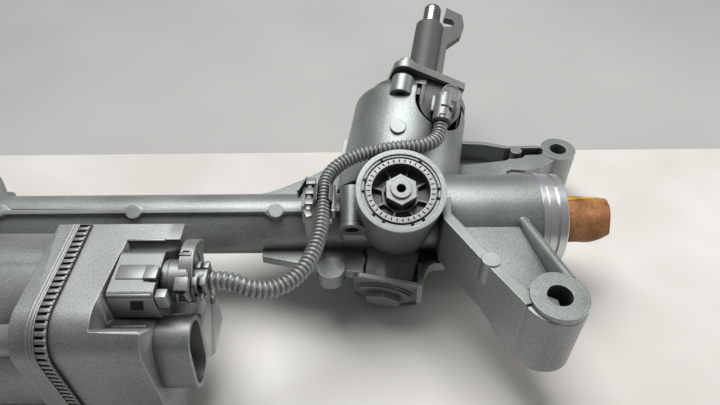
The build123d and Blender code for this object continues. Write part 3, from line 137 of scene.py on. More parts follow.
# %% Material helpers
def linear(hex_colour):
    """Linear RGBA of an sRGB hex colour."""
    channels = [int(hex_colour[i:i + 2], 16) / 255 for i in (1, 3, 5)]
    straight = [c / 12.92 if c <= 0.04045 else ((c + 0.055) / 1.055) ** 2.4 for c in channels]
    return (*straight, 1)


def add(tree, kind, sockets=(), **settings):
    """Adds a node. Sockets maps an input to a value, or to the output that feeds it."""
    node = tree.nodes.new("ShaderNode" + kind)
    for name, value in settings.items():
        setattr(node, name, value)
    for socket, value in dict(sockets).items():
        if isinstance(value, bpy.types.NodeSocket):
            tree.links.new(value, node.inputs[socket])
        else:
            node.inputs[socket].default_value = value
    return node


def ramp(tree, factor, stops):
    """Colour ramp through (position, hex colour) stops."""
    node = add(tree, "ValToRGB", {"Fac": factor})
    while len(node.color_ramp.elements) < len(stops):
        node.color_ramp.elements.new(0.5)
    for element, (position, colour) in zip(node.color_ramp.elements, stops):
        element.position = position
        element.color = linear(colour)
    return node.outputs["Color"]


def new_material(name):
    """An empty node material, and its tree."""
    material = bpy.data.materials.new(name)
    material.use_nodes = True
    material.node_tree.nodes.clear()
    return material, material.node_tree


def shade(tree, **sockets):
    """Principled shader on the surface output. Socket names have underscores for spaces."""
    named = {name.replace("_", " "): value for name, value in sockets.items()}
    shader = add(tree, "BsdfPrincipled", named)
    add(tree, "OutputMaterial", {"Surface": shader.outputs["BSDF"]})


def maths(tree, operation, first, second):
    """Result of a sum or a comparison of two numbers."""
    return add(tree, "Math", {0: first, 1: second}, operation=operation).outputs[0]


# For each kind of value, the Mix node's two inputs and its output.
MIX_SOCKETS = {"FLOAT": (2, 3, 0), "VECTOR": (4, 5, 1), "RGBA": (6, 7, 2)}


def mixed(tree, share, first, second, kind="RGBA", blend="MIX"):
    """Mixes two colours, numbers or directions by a share."""
    first_in, second_in, result = MIX_SOCKETS[kind]
    ends = {0: share, first_in: first, second_in: second}
    return add(tree, "Mix", ends, data_type=kind, blend_type=blend).outputs[result]


def spread(tree, value, low, high, start=0, end=1):
    """Maps a value between a start and an end to one between low and high."""
    ends = {"Value": value, "From Min": start, "From Max": end, "To Min": low, "To Max": high}
    return add(tree, "MapRange", ends).outputs["Result"]


def bumped(tree, height, strength, height_mm, **base):
    """Direction of a surface with a bump, over another Normal if one is given."""
    sockets = {"Height": height, "Strength": strength, "Distance": height_mm * MM, **base}
    return add(tree, "Bump", sockets).outputs["Normal"]


def grain_of(tree, size_mm, detail=2, roughness=0.5, stretch=(1, 1, 1)):
    """Noise whose cells are about size_mm across, read in object space. A small stretch draws long cells."""
    place = add(tree, "TexCoord").outputs["Object"]
    place = add(tree, "VectorMath", {0: place, 1: stretch}, operation="MULTIPLY").outputs["Vector"]
    return add(tree, "TexNoise", {"Vector": place, "Scale": 1 / (size_mm * MM), "Detail": detail,
                                  "Roughness": roughness}).outputs["Fac"]

# %% [markdown]
# ## Table and backdrop
# The object stands on a pale table, with a light grey surface behind the table's far edge. Both are flat sheets a
# hair under the object, so the table keeps its shadow.

# %% Table and backdrop
FLOOR_Z = cad_box[0][2] - 0.0002
BACKDROP_Z = FLOOR_Z + 0.0001
TABLE_EDGE_Y, TABLE_EDGE_SLANT = 0.147, 0.02
FAR = 6


def stage_sheet(name, left_y, right_y, z, material):
    """Flat sheet from a near edge to the far end of the room, kept out of the object."""
    sheet = bmesh.new()
    corners = [(-FAR, left_y, z), (FAR, right_y, z), (FAR, FAR, z), (-FAR, FAR, z)]
    sheet.faces.new([sheet.verts.new(corner) for corner in corners])
    object_from(name, sheet, material)


table_top, tree = new_material("white_laminate_table")
shade(tree, Base_Color=ramp(tree, grain_of(tree, 90), [(0.3, "#dcd8d2"), (0.7, "#e9e6e1")]), Roughness=0.4)
backdrop_paint, tree = new_material("light_grey_backdrop")
shade(tree, Base_Color=ramp(tree, grain_of(tree, 300), [(0.3, "#b0b2ae"), (0.7, "#bcbdb9")]), Roughness=0.8)
stage_sheet("table", -FAR, -FAR, FLOOR_Z, table_top)
stage_sheet("backdrop", TABLE_EDGE_Y, TABLE_EDGE_Y + TABLE_EDGE_SLANT, BACKDROP_Z, backdrop_paint)
print("table at", round(FLOOR_Z, 4), "m, its far edge at", TABLE_EDGE_Y, "m")

# %% [markdown]
# ## Light
# A large soft box hangs above and a little behind the object, so that top faces are light and faces that look at
# the camera are darker. A small one on the right lifts the lugs, and a weak even light fills the rest.

# %% Light
OBJECT_MIDDLE = Vector((-0.12, 0, 0))


def soft_box(name, place, size, watts):
    """Square area lamp that looks at the object."""
    data = bpy.data.lights.new(name, "AREA")
    data.size = size
    data.energy = watts
    lamp = linked(bpy.data.objects.new(name, data))
    lamp.location = place
    lamp.rotation_euler = (OBJECT_MIDDLE - lamp.location).to_track_quat("-Z", "Y").to_euler()


soft_box("ceiling_box", (-0.25, 0.42, 1.25), size=0.9, watts=19)
soft_box("right_box", (0.9, 0, 0.5), size=0.5, watts=4)
world = bpy.data.worlds.new("studio")
world.use_nodes = True
world.node_tree.nodes.clear()
tree = world.node_tree
room = add(tree, "Background", {"Color": linear("#c9ccd0"), "Strength": 0.2})
add(tree, "OutputWorld", {"Surface": room.outputs[0]})
scene.world = world

# %% [markdown]
# ## Sprayed metallic grey
# The whole unit wears a thin coat of metallic grey lacquer over a blasted surface. It shows flecks about half a
# millimetre wide, a slow change of tone, and brighter edges, where the coat is thin. The Bevel node rounds the
# steps in the shading, and its difference from the true normal marks the edges. Hollows are painted darker, as
# painted shade: the Ambient Occlusion node finds them, and their colour is mixed towards a near-black.

# %% Sprayed metallic grey
TONE_MM, TONE_SHARE, TONE_OFFSET = 38, 0.35, 0.17
# Painted shade in hollows: the near-black they are mixed towards, and how far the search for hollows reaches.
HOLLOW_REACH_MM, HOLLOW_SHADE_COLOUR = 14, "#0c1012"
FLECK_HEIGHT_MM = 0.12
METAL_SHARE, LACQUER_ROUGHNESS = 0.55, 0.42


def edge_share(tree, width_mm):
    """0 on open faces, up to 1 along edges of the given width, and the rounded normal."""
    rounded = add(tree, "Bevel", {"Radius": width_mm * MM}, samples=6).outputs["Normal"]
    true_normal = add(tree, "NewGeometry").outputs["True Normal"]
    same = add(tree, "VectorMath", {0: rounded, 1: true_normal}, operation="DOT_PRODUCT").outputs["Value"]
    return spread(tree, same, 0, 1, 0.995, 0.75), rounded


def lacquer(tree, dark, light, edge, fleck_mm, round_mm):
    """Colour, roughness and normal of the metallic lacquer, with painted shade in its hollows."""
    flecks = grain_of(tree, fleck_mm, detail=3, roughness=0.7)
    tone = grain_of(tree, TONE_MM, detail=1)
    level = maths(tree, "ADD", flecks, maths(tree, "MULTIPLY", tone, TONE_SHARE))
    level = maths(tree, "SUBTRACT", level, TONE_OFFSET)
    coat = ramp(tree, level, [(0.25, dark), (0.75, light)])
    share, rounded = edge_share(tree, round_mm)
    colour = mixed(tree, share, coat, linear(edge))
    # Painted shade: where the Ambient Occlusion node finds a hollow, the colour is mixed towards near-black.
    openness = add(tree, "AmbientOcclusion", {"Distance": HOLLOW_REACH_MM * MM}, samples=6).outputs["AO"]
    daylight = spread(tree, openness, 0.2, 1, 0.25, 0.85)
    colour = mixed(tree, daylight, linear(HOLLOW_SHADE_COLOUR), colour)
    matte = spread(tree, tone, LACQUER_ROUGHNESS - 0.06, LACQUER_ROUGHNESS + 0.08)
    return colour, matte, bumped(tree, flecks, 0.35, FLECK_HEIGHT_MM, Normal=rounded)


def sprayed(name, dark, light, edge, fleck_mm, round_mm):
    """Metallic lacquer over a blasted or moulded surface."""
    material, tree = new_material(name)
    colour, matte, normal = lacquer(tree, dark, light, edge, fleck_mm, round_mm)
    shade(tree, Base_Color=colour, Metallic=METAL_SHARE, Roughness=matte, Normal=normal)
    return material


lacquered_plastic = sprayed("sprayed_metallic_grey_on_moulded_plastic", "#656968", "#b4b8b6", "#cdd1ce", 0.55, 0.5)
lacquered_metal = sprayed("sprayed_metallic_grey_on_steel_and_covers", "#656968", "#b8bcba", "#d2d6d3", 0.6, 0.7)
print("lacquers", lacquered_plastic.name, lacquered_metal.name)

# %% [markdown]
# ## Castings with turned boot seats
# The castings are lacquered before they are machined, so the boot seats at their ends are bare turned aluminium.
# One material does both: a mask reads the place on the part, past a set X and close round the rack axis, and
# switches the look there. Turning leaves fine rings, so a noise that only changes along X gives the bump.

# %% Castings
RIGHT_SEAT_START, LEFT_SEAT_END, SEAT_REACH = -12.1, -592.9, 35
RING_WIDTH_MM, RING_HEIGHT_MM = 0.25, 0.03
BARE_METAL_SHARE, BARE_ROUGHNESS = 0.8, 0.3


def sprayed_casting(name):
    """Lacquered casting whose ends, round the rack axis, are bare turned metal."""
    material, tree = new_material(name)
    colour, matte, normal = lacquer(tree, "#626666", "#bac0bd", "#d6dad7", 0.6, 0.9)
    place = add(tree, "TexCoord").outputs["Object"]
    along = add(tree, "SeparateXYZ", {0: place}).outputs["X"]
    across = add(tree, "VectorMath", {0: place, 1: (0, 1, 1)}, operation="MULTIPLY").outputs["Vector"]
    radius = add(tree, "VectorMath", {0: across}, operation="LENGTH").outputs["Value"]
    either_end = maths(tree, "ADD", maths(tree, "GREATER_THAN", along, RIGHT_SEAT_START * MM),
                       maths(tree, "LESS_THAN", along, LEFT_SEAT_END * MM))
    on_seat = maths(tree, "MULTIPLY", either_end, maths(tree, "LESS_THAN", radius, SEAT_REACH * MM))
    rings = add(tree, "TexNoise", {"W": along, "Scale": 1 / (RING_WIDTH_MM * MM), "Detail": 3},
                noise_dimensions="1D").outputs["Fac"]
    bare = ramp(tree, rings, [(0.3, "#c9cccd"), (0.7, "#eff0f0")])
    ring_bump = bumped(tree, rings, 0.25, RING_HEIGHT_MM)
    shade(tree, Base_Color=mixed(tree, on_seat, colour, bare),
          Metallic=mixed(tree, on_seat, METAL_SHARE, BARE_METAL_SHARE, "FLOAT"),
          Roughness=mixed(tree, on_seat, matte, BARE_ROUGHNESS, "FLOAT"),
          Normal=mixed(tree, on_seat, normal, ring_bump, "VECTOR"))
    return material


lacquered_casting = sprayed_casting("sprayed_metallic_grey_on_cast_aluminium")
print("casting finish", lacquered_casting.name)

# %% [markdown]
# ## Bare and other finishes
# The other pieces are ground, plated or moulded. Each finish is one noise of a real size, which gives the colour,
# the roughness and a light bump. One table holds them, with the solids that wear each.

# %% Plain finishes
ROUGHNESS_SPREAD = 0.07
finished = {}


def plain_finish(name, dark, light, cell_mm, roughness, metallic, bump_mm, stretch=(1, 1, 1)):
    """A finish from one noise: its colour, its roughness and its bump."""
    material, tree = new_material(name)
    noise = grain_of(tree, cell_mm, detail=4, stretch=stretch)
    matte = spread(tree, noise, roughness - ROUGHNESS_SPREAD, roughness + ROUGHNESS_SPREAD)
    shade(tree, Base_Color=ramp(tree, noise, [(0.3, dark), (0.7, light)]), Metallic=metallic,
          Roughness=matte, Normal=bumped(tree, noise, 0.4, bump_mm))
    return material


def dress(names, finish):
    """Gives a finish to the frame's solids that are named in a line."""
    for name in names.split():
        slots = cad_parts[name].data.materials
        slots.clear()
        slots.append(finish)
        finished[name] = finish


# Name, dark and light colour, cell in mm, roughness, metal share, bump in mm, solids, and stretch if any.
PLAIN_FINISHES = [
    ("ground_steel", "#8d9092", "#b4b7b8", 0.6, 0.26, 1, 0.01,
     "rack_bar pinion torsion_bar pinion_nut rotor_shaft ball_nut", (1, 0.06, 0.06)),
    ("bearing_steel", "#7b7e80", "#a2a5a6", 2, 0.32, 1, 0.01,
     "pinion_lower_bearing pinion_upper_bearing nut_bearing rotor_bearings bearing_ring"),
    ("polished_steel_shaft_tip", "#c9c8c4", "#e6e5e1", 3, 0.2, 1, 0.01, "input_shaft locating_pin"),
    ("oiled_spring_steel", "#3a3c3f", "#5a5d60", 1.5, 0.35, 1, 0.01, "yoke_spring"),
    ("sintered_steel", "#4f5153", "#6e7072", 0.8, 0.5, 1, 0.03, "driven_pulley drive_pulley"),
    ("plated_soft_iron", "#6f7276", "#8f9296", 2, 0.4, 1, 0.01, "flux_ring"),
    ("bare_cast_aluminium", "#8f9294", "#adb0b1", 0.8, 0.45, 1, 0.04, "yoke motor_end_shield"),
    ("matte_grey_plastic_sleeve", "#4b4c4b", "#5e5f5d", 0.5, 0.55, 0, 0.02, "alignment_sleeve"),
    ("dark_bush_plastic", "#23272b", "#33383d", 1, 0.5, 0, 0.02, "rack_bush"),
    ("bronze_and_lubricant_liner", "#6b4a2a", "#8a6338", 0.5, 0.45, 0.7, 0.02, "yoke_liner"),
    ("black_rubber", "#121213", "#232325", 1.2, 0.7, 0, 0.04, "yoke_o_ring input_seal drive_belt"),
    ("enamelled_copper_wire", "#8a3f1c", "#b8612e", 0.8, 0.35, 0.9, 0.1, "stator_windings", (0.1, 1, 1)),
    ("stacked_steel_laminations", "#3c3f42", "#6a6d70", 0.35, 0.5, 0.9, 0.05, "motor_stator", (1, 0.02, 0.02)),
    ("nickel_plated_magnet", "#56595c", "#74777a", 2.5, 0.3, 1, 0.01, "rotor_magnets magnet_ring"),
    ("green_board_lacquer", "#0f3a24", "#1d5636", 1.4, 0.4, 0, 0.02, "circuit_board sensor_board"),
    ("drawn_aluminium_can", "#9b9ea0", "#bfc2c3", 1.2, 0.3, 1, 0.01, "capacitors"),
    ("tin_plated_pin", "#b9b4a4", "#d8d3c3", 0.8, 0.25, 1, 0.01, "power_pins"),
]
for row in PLAIN_FINISHES:
    dress(row[7], plain_finish(*row[:7], *row[8:]))
# Painted shade: a near-black finish stands for the shade inside slots, windows, gaps, sunk strokes and dents.
painted_shade_dark = plain_finish("painted_shade_in_slots_and_dents", "#08090a", "#131516", 1.5, 0.7, 0, 0.02)
print("plain finishes", len(PLAIN_FINISHES) + 1, "on", len(finished), "solids")

# %% [markdown]
# ## Kraft paper
# The bar's end is wrapped for transport in kraft paper. Oil soaks it in wide patches, a deeper brown where it is
# wet, over fibres that run round the roll. A coarse noise mixes the browns, and a fine stretched one draws the
# fibres. Where the sheet is folded over, a dry layer stays yellow.

# %% Kraft paper
PATCH_MM, FIBRE_MM, FIBRE_HEIGHT_MM = 15, 0.8, 0.15
FIBRE_SHARE = 0.7


def make_kraft_paper(name, browns):
    """Paper in three browns, from soaked to dry, with fibres round the roll."""
    material, tree = new_material(name)
    patches = grain_of(tree, PATCH_MM, detail=4, roughness=0.55)
    fibres = grain_of(tree, FIBRE_MM, detail=4, stretch=(1, 0.25, 0.25))
    soaked = ramp(tree, patches, list(zip((0.34, 0.5, 0.66), browns)))
    fine = ramp(tree, fibres, [(0.3, "#a99f95"), (0.7, "#ffffff")])
    shade(tree, Base_Color=mixed(tree, FIBRE_SHARE, soaked, fine, blend="MULTIPLY"), Roughness=0.6,
          Normal=bumped(tree, fibres, 0.5, FIBRE_HEIGHT_MM))
    return material


kraft_paper = make_kraft_paper("oiled_kraft_paper", ("#87562f", "#b47a46", "#cf9760"))
folded_edge_paper = make_kraft_paper("dry_folded_kraft_paper", ("#c08a35", "#dba548", "#ecc06a"))
print("papers", kraft_paper.name, folded_edge_paper.name)

# %% [markdown]
# ## Finishes on the other solids
# The castings, the covers, the plugs and the paper get theirs, and a check names any solid that was left out.

# %% Other solids
dress("rack_housing belt_case", lacquered_casting)
dress("motor_housing control_cover crimp_band case_screws motor_bolts sensor_bolts end_plate_screw "
      "pinion_screw_plug yoke_cap", lacquered_metal)
dress("signal_socket signal_plug plug_lever cable_outlet power_socket sensor_cover sensor_connector conduit "
      "conduit_clip", lacquered_plastic)
dress("protective_paper", kraft_paper)
print("finished", len(finished), "left out", sorted(set(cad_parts) - set(finished)))

# %% [markdown]
# ## Boxes, plates and turned rings
# Most of the fine parts are soft boxes, turned rings, or flat plates with an outline. A few helpers make these
# from bmesh operators, so that each piece below is only its sizes, in millimetres, and its place, a matrix.

# %% Basic shapes
SOFT_STEPS = 2
SAME_PLACE = 0.001 * MM
VERT, EDGE = bmesh.types.BMVert, bmesh.types.BMEdge


def at(x, y, z, x_axis=RIGHT, z_axis=(0, 0, 1)):
    """A plane at a place in millimetres."""
    return axes(Vector((x, y, z)) * MM, x_axis, z_axis)


def only(items, kind):
    """The items of one kind among the results of an operator."""
    return [item for item in items if isinstance(item, kind)]


def soften(shape, edges, width):
    """Rounds edges over a width in millimetres."""
    bmesh.ops.bevel(shape, geom=edges, affect="EDGES", offset=width * MM, segments=SOFT_STEPS, profile=0.5,
                    material=-1)


def outline_loop(shape, place, outline):
    """Vertices and edges of a closed outline of (x, y) on a place."""
    verts = [shape.verts.new(place @ Vector((x * MM, y * MM, 0))) for x, y in outline]
    return verts, [shape.edges.new(pair) for pair in zip(verts, verts[1:] + verts[:1])]


def block(shape, place, size, soft=0.3):
    """A box with its middle at the place, and soft edges."""
    verts = bmesh.ops.create_cube(shape, size=1)["verts"]
    bmesh.ops.transform(shape, matrix=place @ Matrix.Diagonal((*(Vector(size) * MM), 1)), verts=verts)
    soften(shape, list({edge for vertex in verts for edge in vertex.link_edges}), soft)


def turned(shape, place, outline, steps=48, angle=math.tau):
    """Spins a closed outline of (radius, height) round the place's Z."""
    upright = place @ Matrix.Rotation(math.pi / 2, 4, "X")
    verts, edges = outline_loop(shape, upright, outline)
    whole = angle == math.tau
    if not whole:
        bmesh.ops.contextual_create(shape, geom=edges)
    axis = place.to_3x3().col[2]
    spun = bmesh.ops.spin(shape, geom=verts + edges, cent=place.translation, axis=axis, angle=angle,
                          steps=steps, use_merge=whole)
    if not whole:
        bmesh.ops.contextual_create(shape, geom=only(spun["geom_last"], EDGE))
    bmesh.ops.remove_doubles(shape, verts=shape.verts, dist=SAME_PLACE)
    bmesh.ops.recalc_face_normals(shape, faces=shape.faces)


def plate(shape, place, outline, thickness, soft=0):
    """A flat plate with an outline of (x, y) on the place, raised along its Z."""
    verts = [shape.verts.new(place @ Vector((x * MM, y * MM, 0))) for x, y in outline]
    face = shape.faces.new(verts)
    grown = bmesh.ops.extrude_face_region(shape, geom=[face])["geom"]
    raised = only(grown, VERT)
    bmesh.ops.translate(shape, verts=raised, vec=place.to_3x3().col[2] * thickness * MM)
    bmesh.ops.recalc_face_normals(shape, faces=shape.faces)
    if soft:
        soften(shape, [edge for edge in shape.edges if all(vertex in raised for vertex in edge.verts)], soft)

# %% [markdown]
# ## Swept shapes
# A tube, a rib or a band is one outline carried along a path. The loop of edges is extruded and moved from frame
# to frame, and the ends are closed, or joined where the path comes back on itself.

# %% Swept shapes
def extruded_loop(shape, edges, move):
    """Extrudes a loop of edges, moves the new loop by a matrix, and gives its edges."""
    grown = bmesh.ops.extrude_edge_only(shape, edges=edges)["geom"]
    verts = only(grown, VERT)
    bmesh.ops.transform(shape, matrix=move, verts=verts)
    return [edge for edge in only(grown, EDGE) if all(vertex in verts for vertex in edge.verts)]


def swept_rings(shape, frames, radii, sides):
    """Extrudes one ring of vertices from frame to frame, at the radius given for each."""
    ring = bmesh.ops.create_circle(shape, cap_ends=True, segments=sides, radius=radii[0], matrix=frames[0])
    edges = list({edge for vertex in ring["verts"] for edge in vertex.link_edges})
    for before, after, old, new in zip(frames, frames[1:], radii, radii[1:]):
        edges = extruded_loop(shape, edges, after @ Matrix.Scale(new / old, 4) @ before.inverted())
    bmesh.ops.edgeloop_fill(shape, edges=edges)
    bmesh.ops.recalc_face_normals(shape, faces=shape.faces)


def swept(shape, frames, outline, closed=False):
    """Carries an outline of (x, y) from frame to frame, and closes it on itself or with ends."""
    first = edges = outline_loop(shape, frames[0], outline)[1]
    for before, after in zip(frames, frames[1:]):
        edges = extruded_loop(shape, edges, after @ before.inverted())
    if closed:
        bmesh.ops.bridge_loops(shape, edges=first + edges)
    else:
        bmesh.ops.contextual_create(shape, geom=first)
        bmesh.ops.contextual_create(shape, geom=edges)
    bmesh.ops.recalc_face_normals(shape, faces=shape.faces)

# %% [markdown]
# ## From a shape to a piece
# A function fills an empty bmesh. The mesh made from it gets its material, and sharp edges where faces meet
# steeply. The piece then rides on the body it moves with.

# %% Pieces
def new_object(name, mesh_maker, material, smooth_deg=30, body="housing"):
    """A piece made by a function that fills a bmesh, with its material, riding on a body."""
    shape = bmesh.new()
    mesh_maker(shape)
    made = object_from(name, shape, material)
    if smooth_deg:
        made.data.shade_smooth()
        made.data.set_sharp_from_angle(angle=radians(smooth_deg))
    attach(made, body)
    return made


def blocks(name, rows, material, soft=0.3):
    """One piece of several boxes: each row is a plane and a size."""
    def fill(shape):
        for place, size in rows:
            block(shape, place, size, soft)
    new_object(name, fill, material)

# %% [markdown]
# ## Route of the conduit
# The torque sensor's wires run in a corrugated tube from the sensor, through a clip beside the yoke tower, to the
# control unit's plug. Its middle line is a smooth NURBS curve past the places where the tube is held, cut into
# even steps, so that every rib comes out as wide as the next.

# %% Conduit route
CONDUIT_ROUTE = [
    (-77.7, 47.8, 52), (-79.3, 40.6, 48.9), (-82.6, 33, 48.2), (-88.6, 27.6, 48.9), (-97.5, 24.2, 49.6),
    (-108.5, 22.8, 49.8), (-120.5, 22.4, 48.3), (-132.5, 22, 46), (-143.5, 19.2, 43.8), (-153, 13.2, 42),
    (-159.5, 4.5, 40.8), (-162.3, -6, 40.2), (-162.3, -31, 40.2), (-162.9, -46, 39.9), (-165.1, -61, 39.4),
    (-169.7, -76, 39), (-177.5, -88, 39.3), (-187.8, -95.5, 41), (-198.8, -98.5, 45), (-210, -96.5, 51.5),
    (-221.5, -96.5, 51.5)]
LINE_RESOLUTION = 24


def smooth_line(points_mm):
    """Points along the NURBS curve that has the given control points, in metres."""
    curve = bpy.data.curves.new("line", "CURVE")
    curve.dimensions = "3D"
    spline = curve.splines.new("NURBS")
    spline.points.add(len(points_mm) - 1)
    for point, place in zip(spline.points, points_mm):
        point.co = (*(Vector(place) * MM), 1)
    spline.order_u = 3
    spline.use_endpoint_u = True
    spline.resolution_u = LINE_RESOLUTION
    carrier = bpy.data.objects.new("line", curve)
    line = bpy.data.meshes.new_from_object(carrier)
    places = [vertex.co.copy() for vertex in line.vertices]
    bpy.data.objects.remove(carrier)
    bpy.data.meshes.remove(line)
    return places


def even_steps(places, step):
    """Points a fixed distance apart along a line of points."""
    spans = [(b - a).length for a, b in zip(places, places[1:])]
    count = max(2, round(sum(spans) / step))
    result, index, passed = [], 0, 0
    for i in range(count + 1):
        distance = sum(spans) * i / count
        while index < len(spans) - 1 and passed + spans[index] < distance:
            passed += spans[index]
            index += 1
        share = min(1, (distance - passed) / spans[index])
        result.append(places[index].lerp(places[index + 1], share))
    return result


conduit_line = smooth_line(CONDUIT_ROUTE)
print("conduit length", round(sum((b - a).length for a, b in zip(conduit_line, conduit_line[1:])), 4), "m")

# %% [markdown]
# ## Corrugated conduit
# The ring after ring of light is what makes the conduit look real, so the ribs are in the mesh. One ring of
# vertices is extruded along the line, again and again, wide on each rib and narrow in each groove.

# %% Corrugated conduit
CONDUIT_R, CONDUIT_GROOVE_R = 5.2 * MM, 4 * MM
RIB_PITCH, RIB_SIDES = 3.2 * MM, 24
RIB_PROFILE = [0, 0.15, 0.85, 1, 1, 0.7]


def frames_along(places):
    """A matrix at each place, local Z along the line, turning as little as possible."""
    directions = [(places[min(i + 1, len(places) - 1)] - places[max(i - 1, 0)]).normalized()
                  for i in range(len(places))]
    turn = directions[0].to_track_quat("Z", "Y")
    result = []
    for i, (place, direction) in enumerate(zip(places, directions)):
        if i:
            turn = directions[i - 1].rotation_difference(direction) @ turn
        result.append(Matrix.Translation(place) @ turn.to_matrix().to_4x4())
    return result


def make_conduit(shape):
    steps = len(RIB_PROFILE)
    places = even_steps(conduit_line, RIB_PITCH / steps)
    radii = [CONDUIT_GROOVE_R + (CONDUIT_R - CONDUIT_GROOVE_R) * RIB_PROFILE[i % steps]
             for i in range(len(places))]
    swept_rings(shape, frames_along(places), radii, RIB_SIDES)


conduit = new_object("corrugated_conduit", make_conduit, lacquered_plastic, 50)
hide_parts("conduit")
print("conduit faces", len(conduit.data.polygons))

# %% [markdown]
# ## Dial ring and stake marks of the yoke cap
# The cap is screwed down on the yoke's spring, backed off by a set angle and staked. Its rim has 36 short strokes
# to count that angle by. A spin makes a thin ring on the rim, and the strokes' faces are extruded downwards and
# coloured near-black as painted shade. A punch leaves small wedge-shaped marks between cap and casting, drawn as
# near-black cones of painted shade.

# %% Yoke cap marks
CAP_FACE = 52
DIAL_IN, STROKE_IN, STROKE_OUT, DIAL_OUT = 19.45, 20.3, 22.5, 23.3
DIAL_RISE, STROKE_DEPTH = 0.5, 0.42
DIAL_STROKES, STROKE_PARTS = 36, 5
STAKE_MARKS = [-179, 162, -137, -119, -75, -57, -14, 2, 57, 119]
STAKE_R, STAKE_HEIGHT, STAKE_FOOT_R, STAKE_TOP_R = 24.9, 1.2, 1.25, 0.7


def make_dial_ring(shape):
    outline = [(DIAL_IN, 0), (DIAL_IN, DIAL_RISE), (STROKE_IN, DIAL_RISE), (STROKE_OUT, DIAL_RISE),
               (DIAL_OUT, DIAL_RISE), (DIAL_OUT, 0)]
    place = yoke_plane(CAP_FACE)
    to_local = place.inverted()
    parts = DIAL_STROKES * STROKE_PARTS
    turned(shape, place, outline, steps=parts)
    strokes = []
    for face in shape.faces:
        middle = to_local @ face.calc_center_median() / MM
        part = int(math.atan2(middle.y, middle.x) % math.tau / math.tau * parts)
        on_top = STROKE_IN < math.hypot(middle.x, middle.y) < STROKE_OUT and middle.z > DIAL_RISE / 2
        if on_top and part % STROKE_PARTS == 0:
            strokes.append(face)
    for face in bmesh.ops.extrude_discrete_faces(shape, faces=strokes)["faces"]:
        bmesh.ops.translate(shape, verts=face.verts, vec=YOKE_DIR * -STROKE_DEPTH * MM)
        face.material_index = 1


dial_ring = new_object("cap_dial_ring", make_dial_ring, lacquered_metal, 20)
# The sunk strokes take the near-black painted shade.
dial_ring.data.materials.append(painted_shade_dark)


def make_stake_marks(shape):
    for degrees in STAKE_MARKS:
        turn = Matrix.Rotation(radians(degrees), 4, "Z")
        place = yoke_plane(CAP_FACE) @ turn @ Matrix.Translation(Vector((STAKE_R, 0, STAKE_HEIGHT / 2)) * MM)
        bmesh.ops.create_cone(shape, cap_ends=True, segments=5, radius1=STAKE_FOOT_R * MM,
                              radius2=STAKE_TOP_R * MM, depth=STAKE_HEIGHT * MM, matrix=place)


# The stake marks are near-black cones of painted shade, which stand for punched dents.
stake_marks = new_object("cap_stake_marks", make_stake_marks, painted_shade_dark, 0)
print("dial faces", len(dial_ring.data.polygons), "stake marks", len(STAKE_MARKS))

# %% [markdown]
# ## Path round the control unit
# The motor's flange, its band and the cover share one outline, a square with rounded corners. A path of even
# steps round it carries the band's outline, and gives each tooth its place.

# %% Band path
MOTOR_MIDDLE = Vector((0, -92, 12.6))
BAND_HALF, BAND_CORNER = 53, 22.5


def band_frames(x, step, inset=0):
    """Frames round a rounded square that is square to X: local X points out and local Y along X."""
    half, corner = BAND_HALF - inset, BAND_CORNER - inset
    straight = 2 * (half - corner)
    quarter = math.pi / 2 * corner
    count = round(4 * (straight + quarter) / step)
    frames = []
    for i in range(count):
        side, distance = divmod(i / count * 4 * (straight + quarter), straight + quarter)
        turn = Matrix.Rotation(side * math.pi / 2, 3, "X")
        if distance < straight:
            place, out = Vector((0, half, distance - straight / 2)), Vector((0, 1, 0))
        else:
            angle = (distance - straight) / corner
            out = Vector((0, math.cos(angle), math.sin(angle)))
            place = Vector((0, half - corner, straight / 2)) + out * corner
        place, out = turn @ place, turn @ out
        middle = (Vector((x, 0, 0)) + MOTOR_MIDDLE + place) * MM
        frames.append(axes(middle, out, out.cross(RIGHT)))
    return frames

# %% [markdown]
# ## Crimped band of the control unit
# A steel band holds the control unit's cover on the motor. Its left half is a ring with two rolled grooves, and
# its right half is cut into teeth, one each four millimetres, that are pressed over the cover's edge. The ring is
# an outline carried round the path. Each tooth is a soft box with a hook, over a near-black strip of painted shade
# that shows between the teeth.

# %% Crimped band
BAND_LEFT, BAND_STEP = -303, 3
TEETH_LEFT, TEETH_RIGHT, TOOTH_PITCH = -298.6, -292.7, 4
TOOTH_LEAN = Matrix.Translation(Vector((-0.95, 0, 0)) * MM) @ Matrix.Rotation(radians(-5), 4, "Z")
HOOK_SHIFT = Matrix.Translation(Vector((-1.1, 2.3, 1.7)) * MM)
GAP_DEPTH, GAP_OUTLINE = 1.45, [(-1, 0), (0, 0), (0, 5.4), (-1, 5.4)]
BAND_OUTLINE = [(-2.5, 0.02), (0, 0.02), (0, 1.1), (-0.45, 1.4), (0, 1.7), (0, 2.9), (-0.45, 3.2), (0, 3.5),
                (0, 4.3), (-1.6, 4.4), (-1.6, 9), (-2.5, 9)]


def make_crimp_ring(shape):
    swept(shape, band_frames(BAND_LEFT, BAND_STEP), BAND_OUTLINE, closed=True)


crimp_ring = new_object("crimp_ring", make_crimp_ring, lacquered_metal, 25)
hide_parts("crimp_band")


def make_crimp_teeth(shape):
    for place in band_frames((TEETH_LEFT + TEETH_RIGHT) / 2, TOOTH_PITCH):
        block(shape, place @ TOOTH_LEAN, (1.7, TEETH_RIGHT - TEETH_LEFT, 2.3), 0.25)
        block(shape, place @ HOOK_SHIFT, (1.2, 1.3, 1.6), 0.2)


crimp_teeth = new_object("crimp_teeth", make_crimp_teeth, lacquered_metal)


def make_crimp_gap(shape):
    swept(shape, band_frames(TEETH_LEFT, BAND_STEP, GAP_DEPTH), GAP_OUTLINE, closed=True)


# The strip between the teeth is near-black painted shade.
crimp_gap = new_object("crimp_gap", make_crimp_gap, painted_shade_dark, 25)
print("crimp teeth faces", len(crimp_teeth.data.polygons))

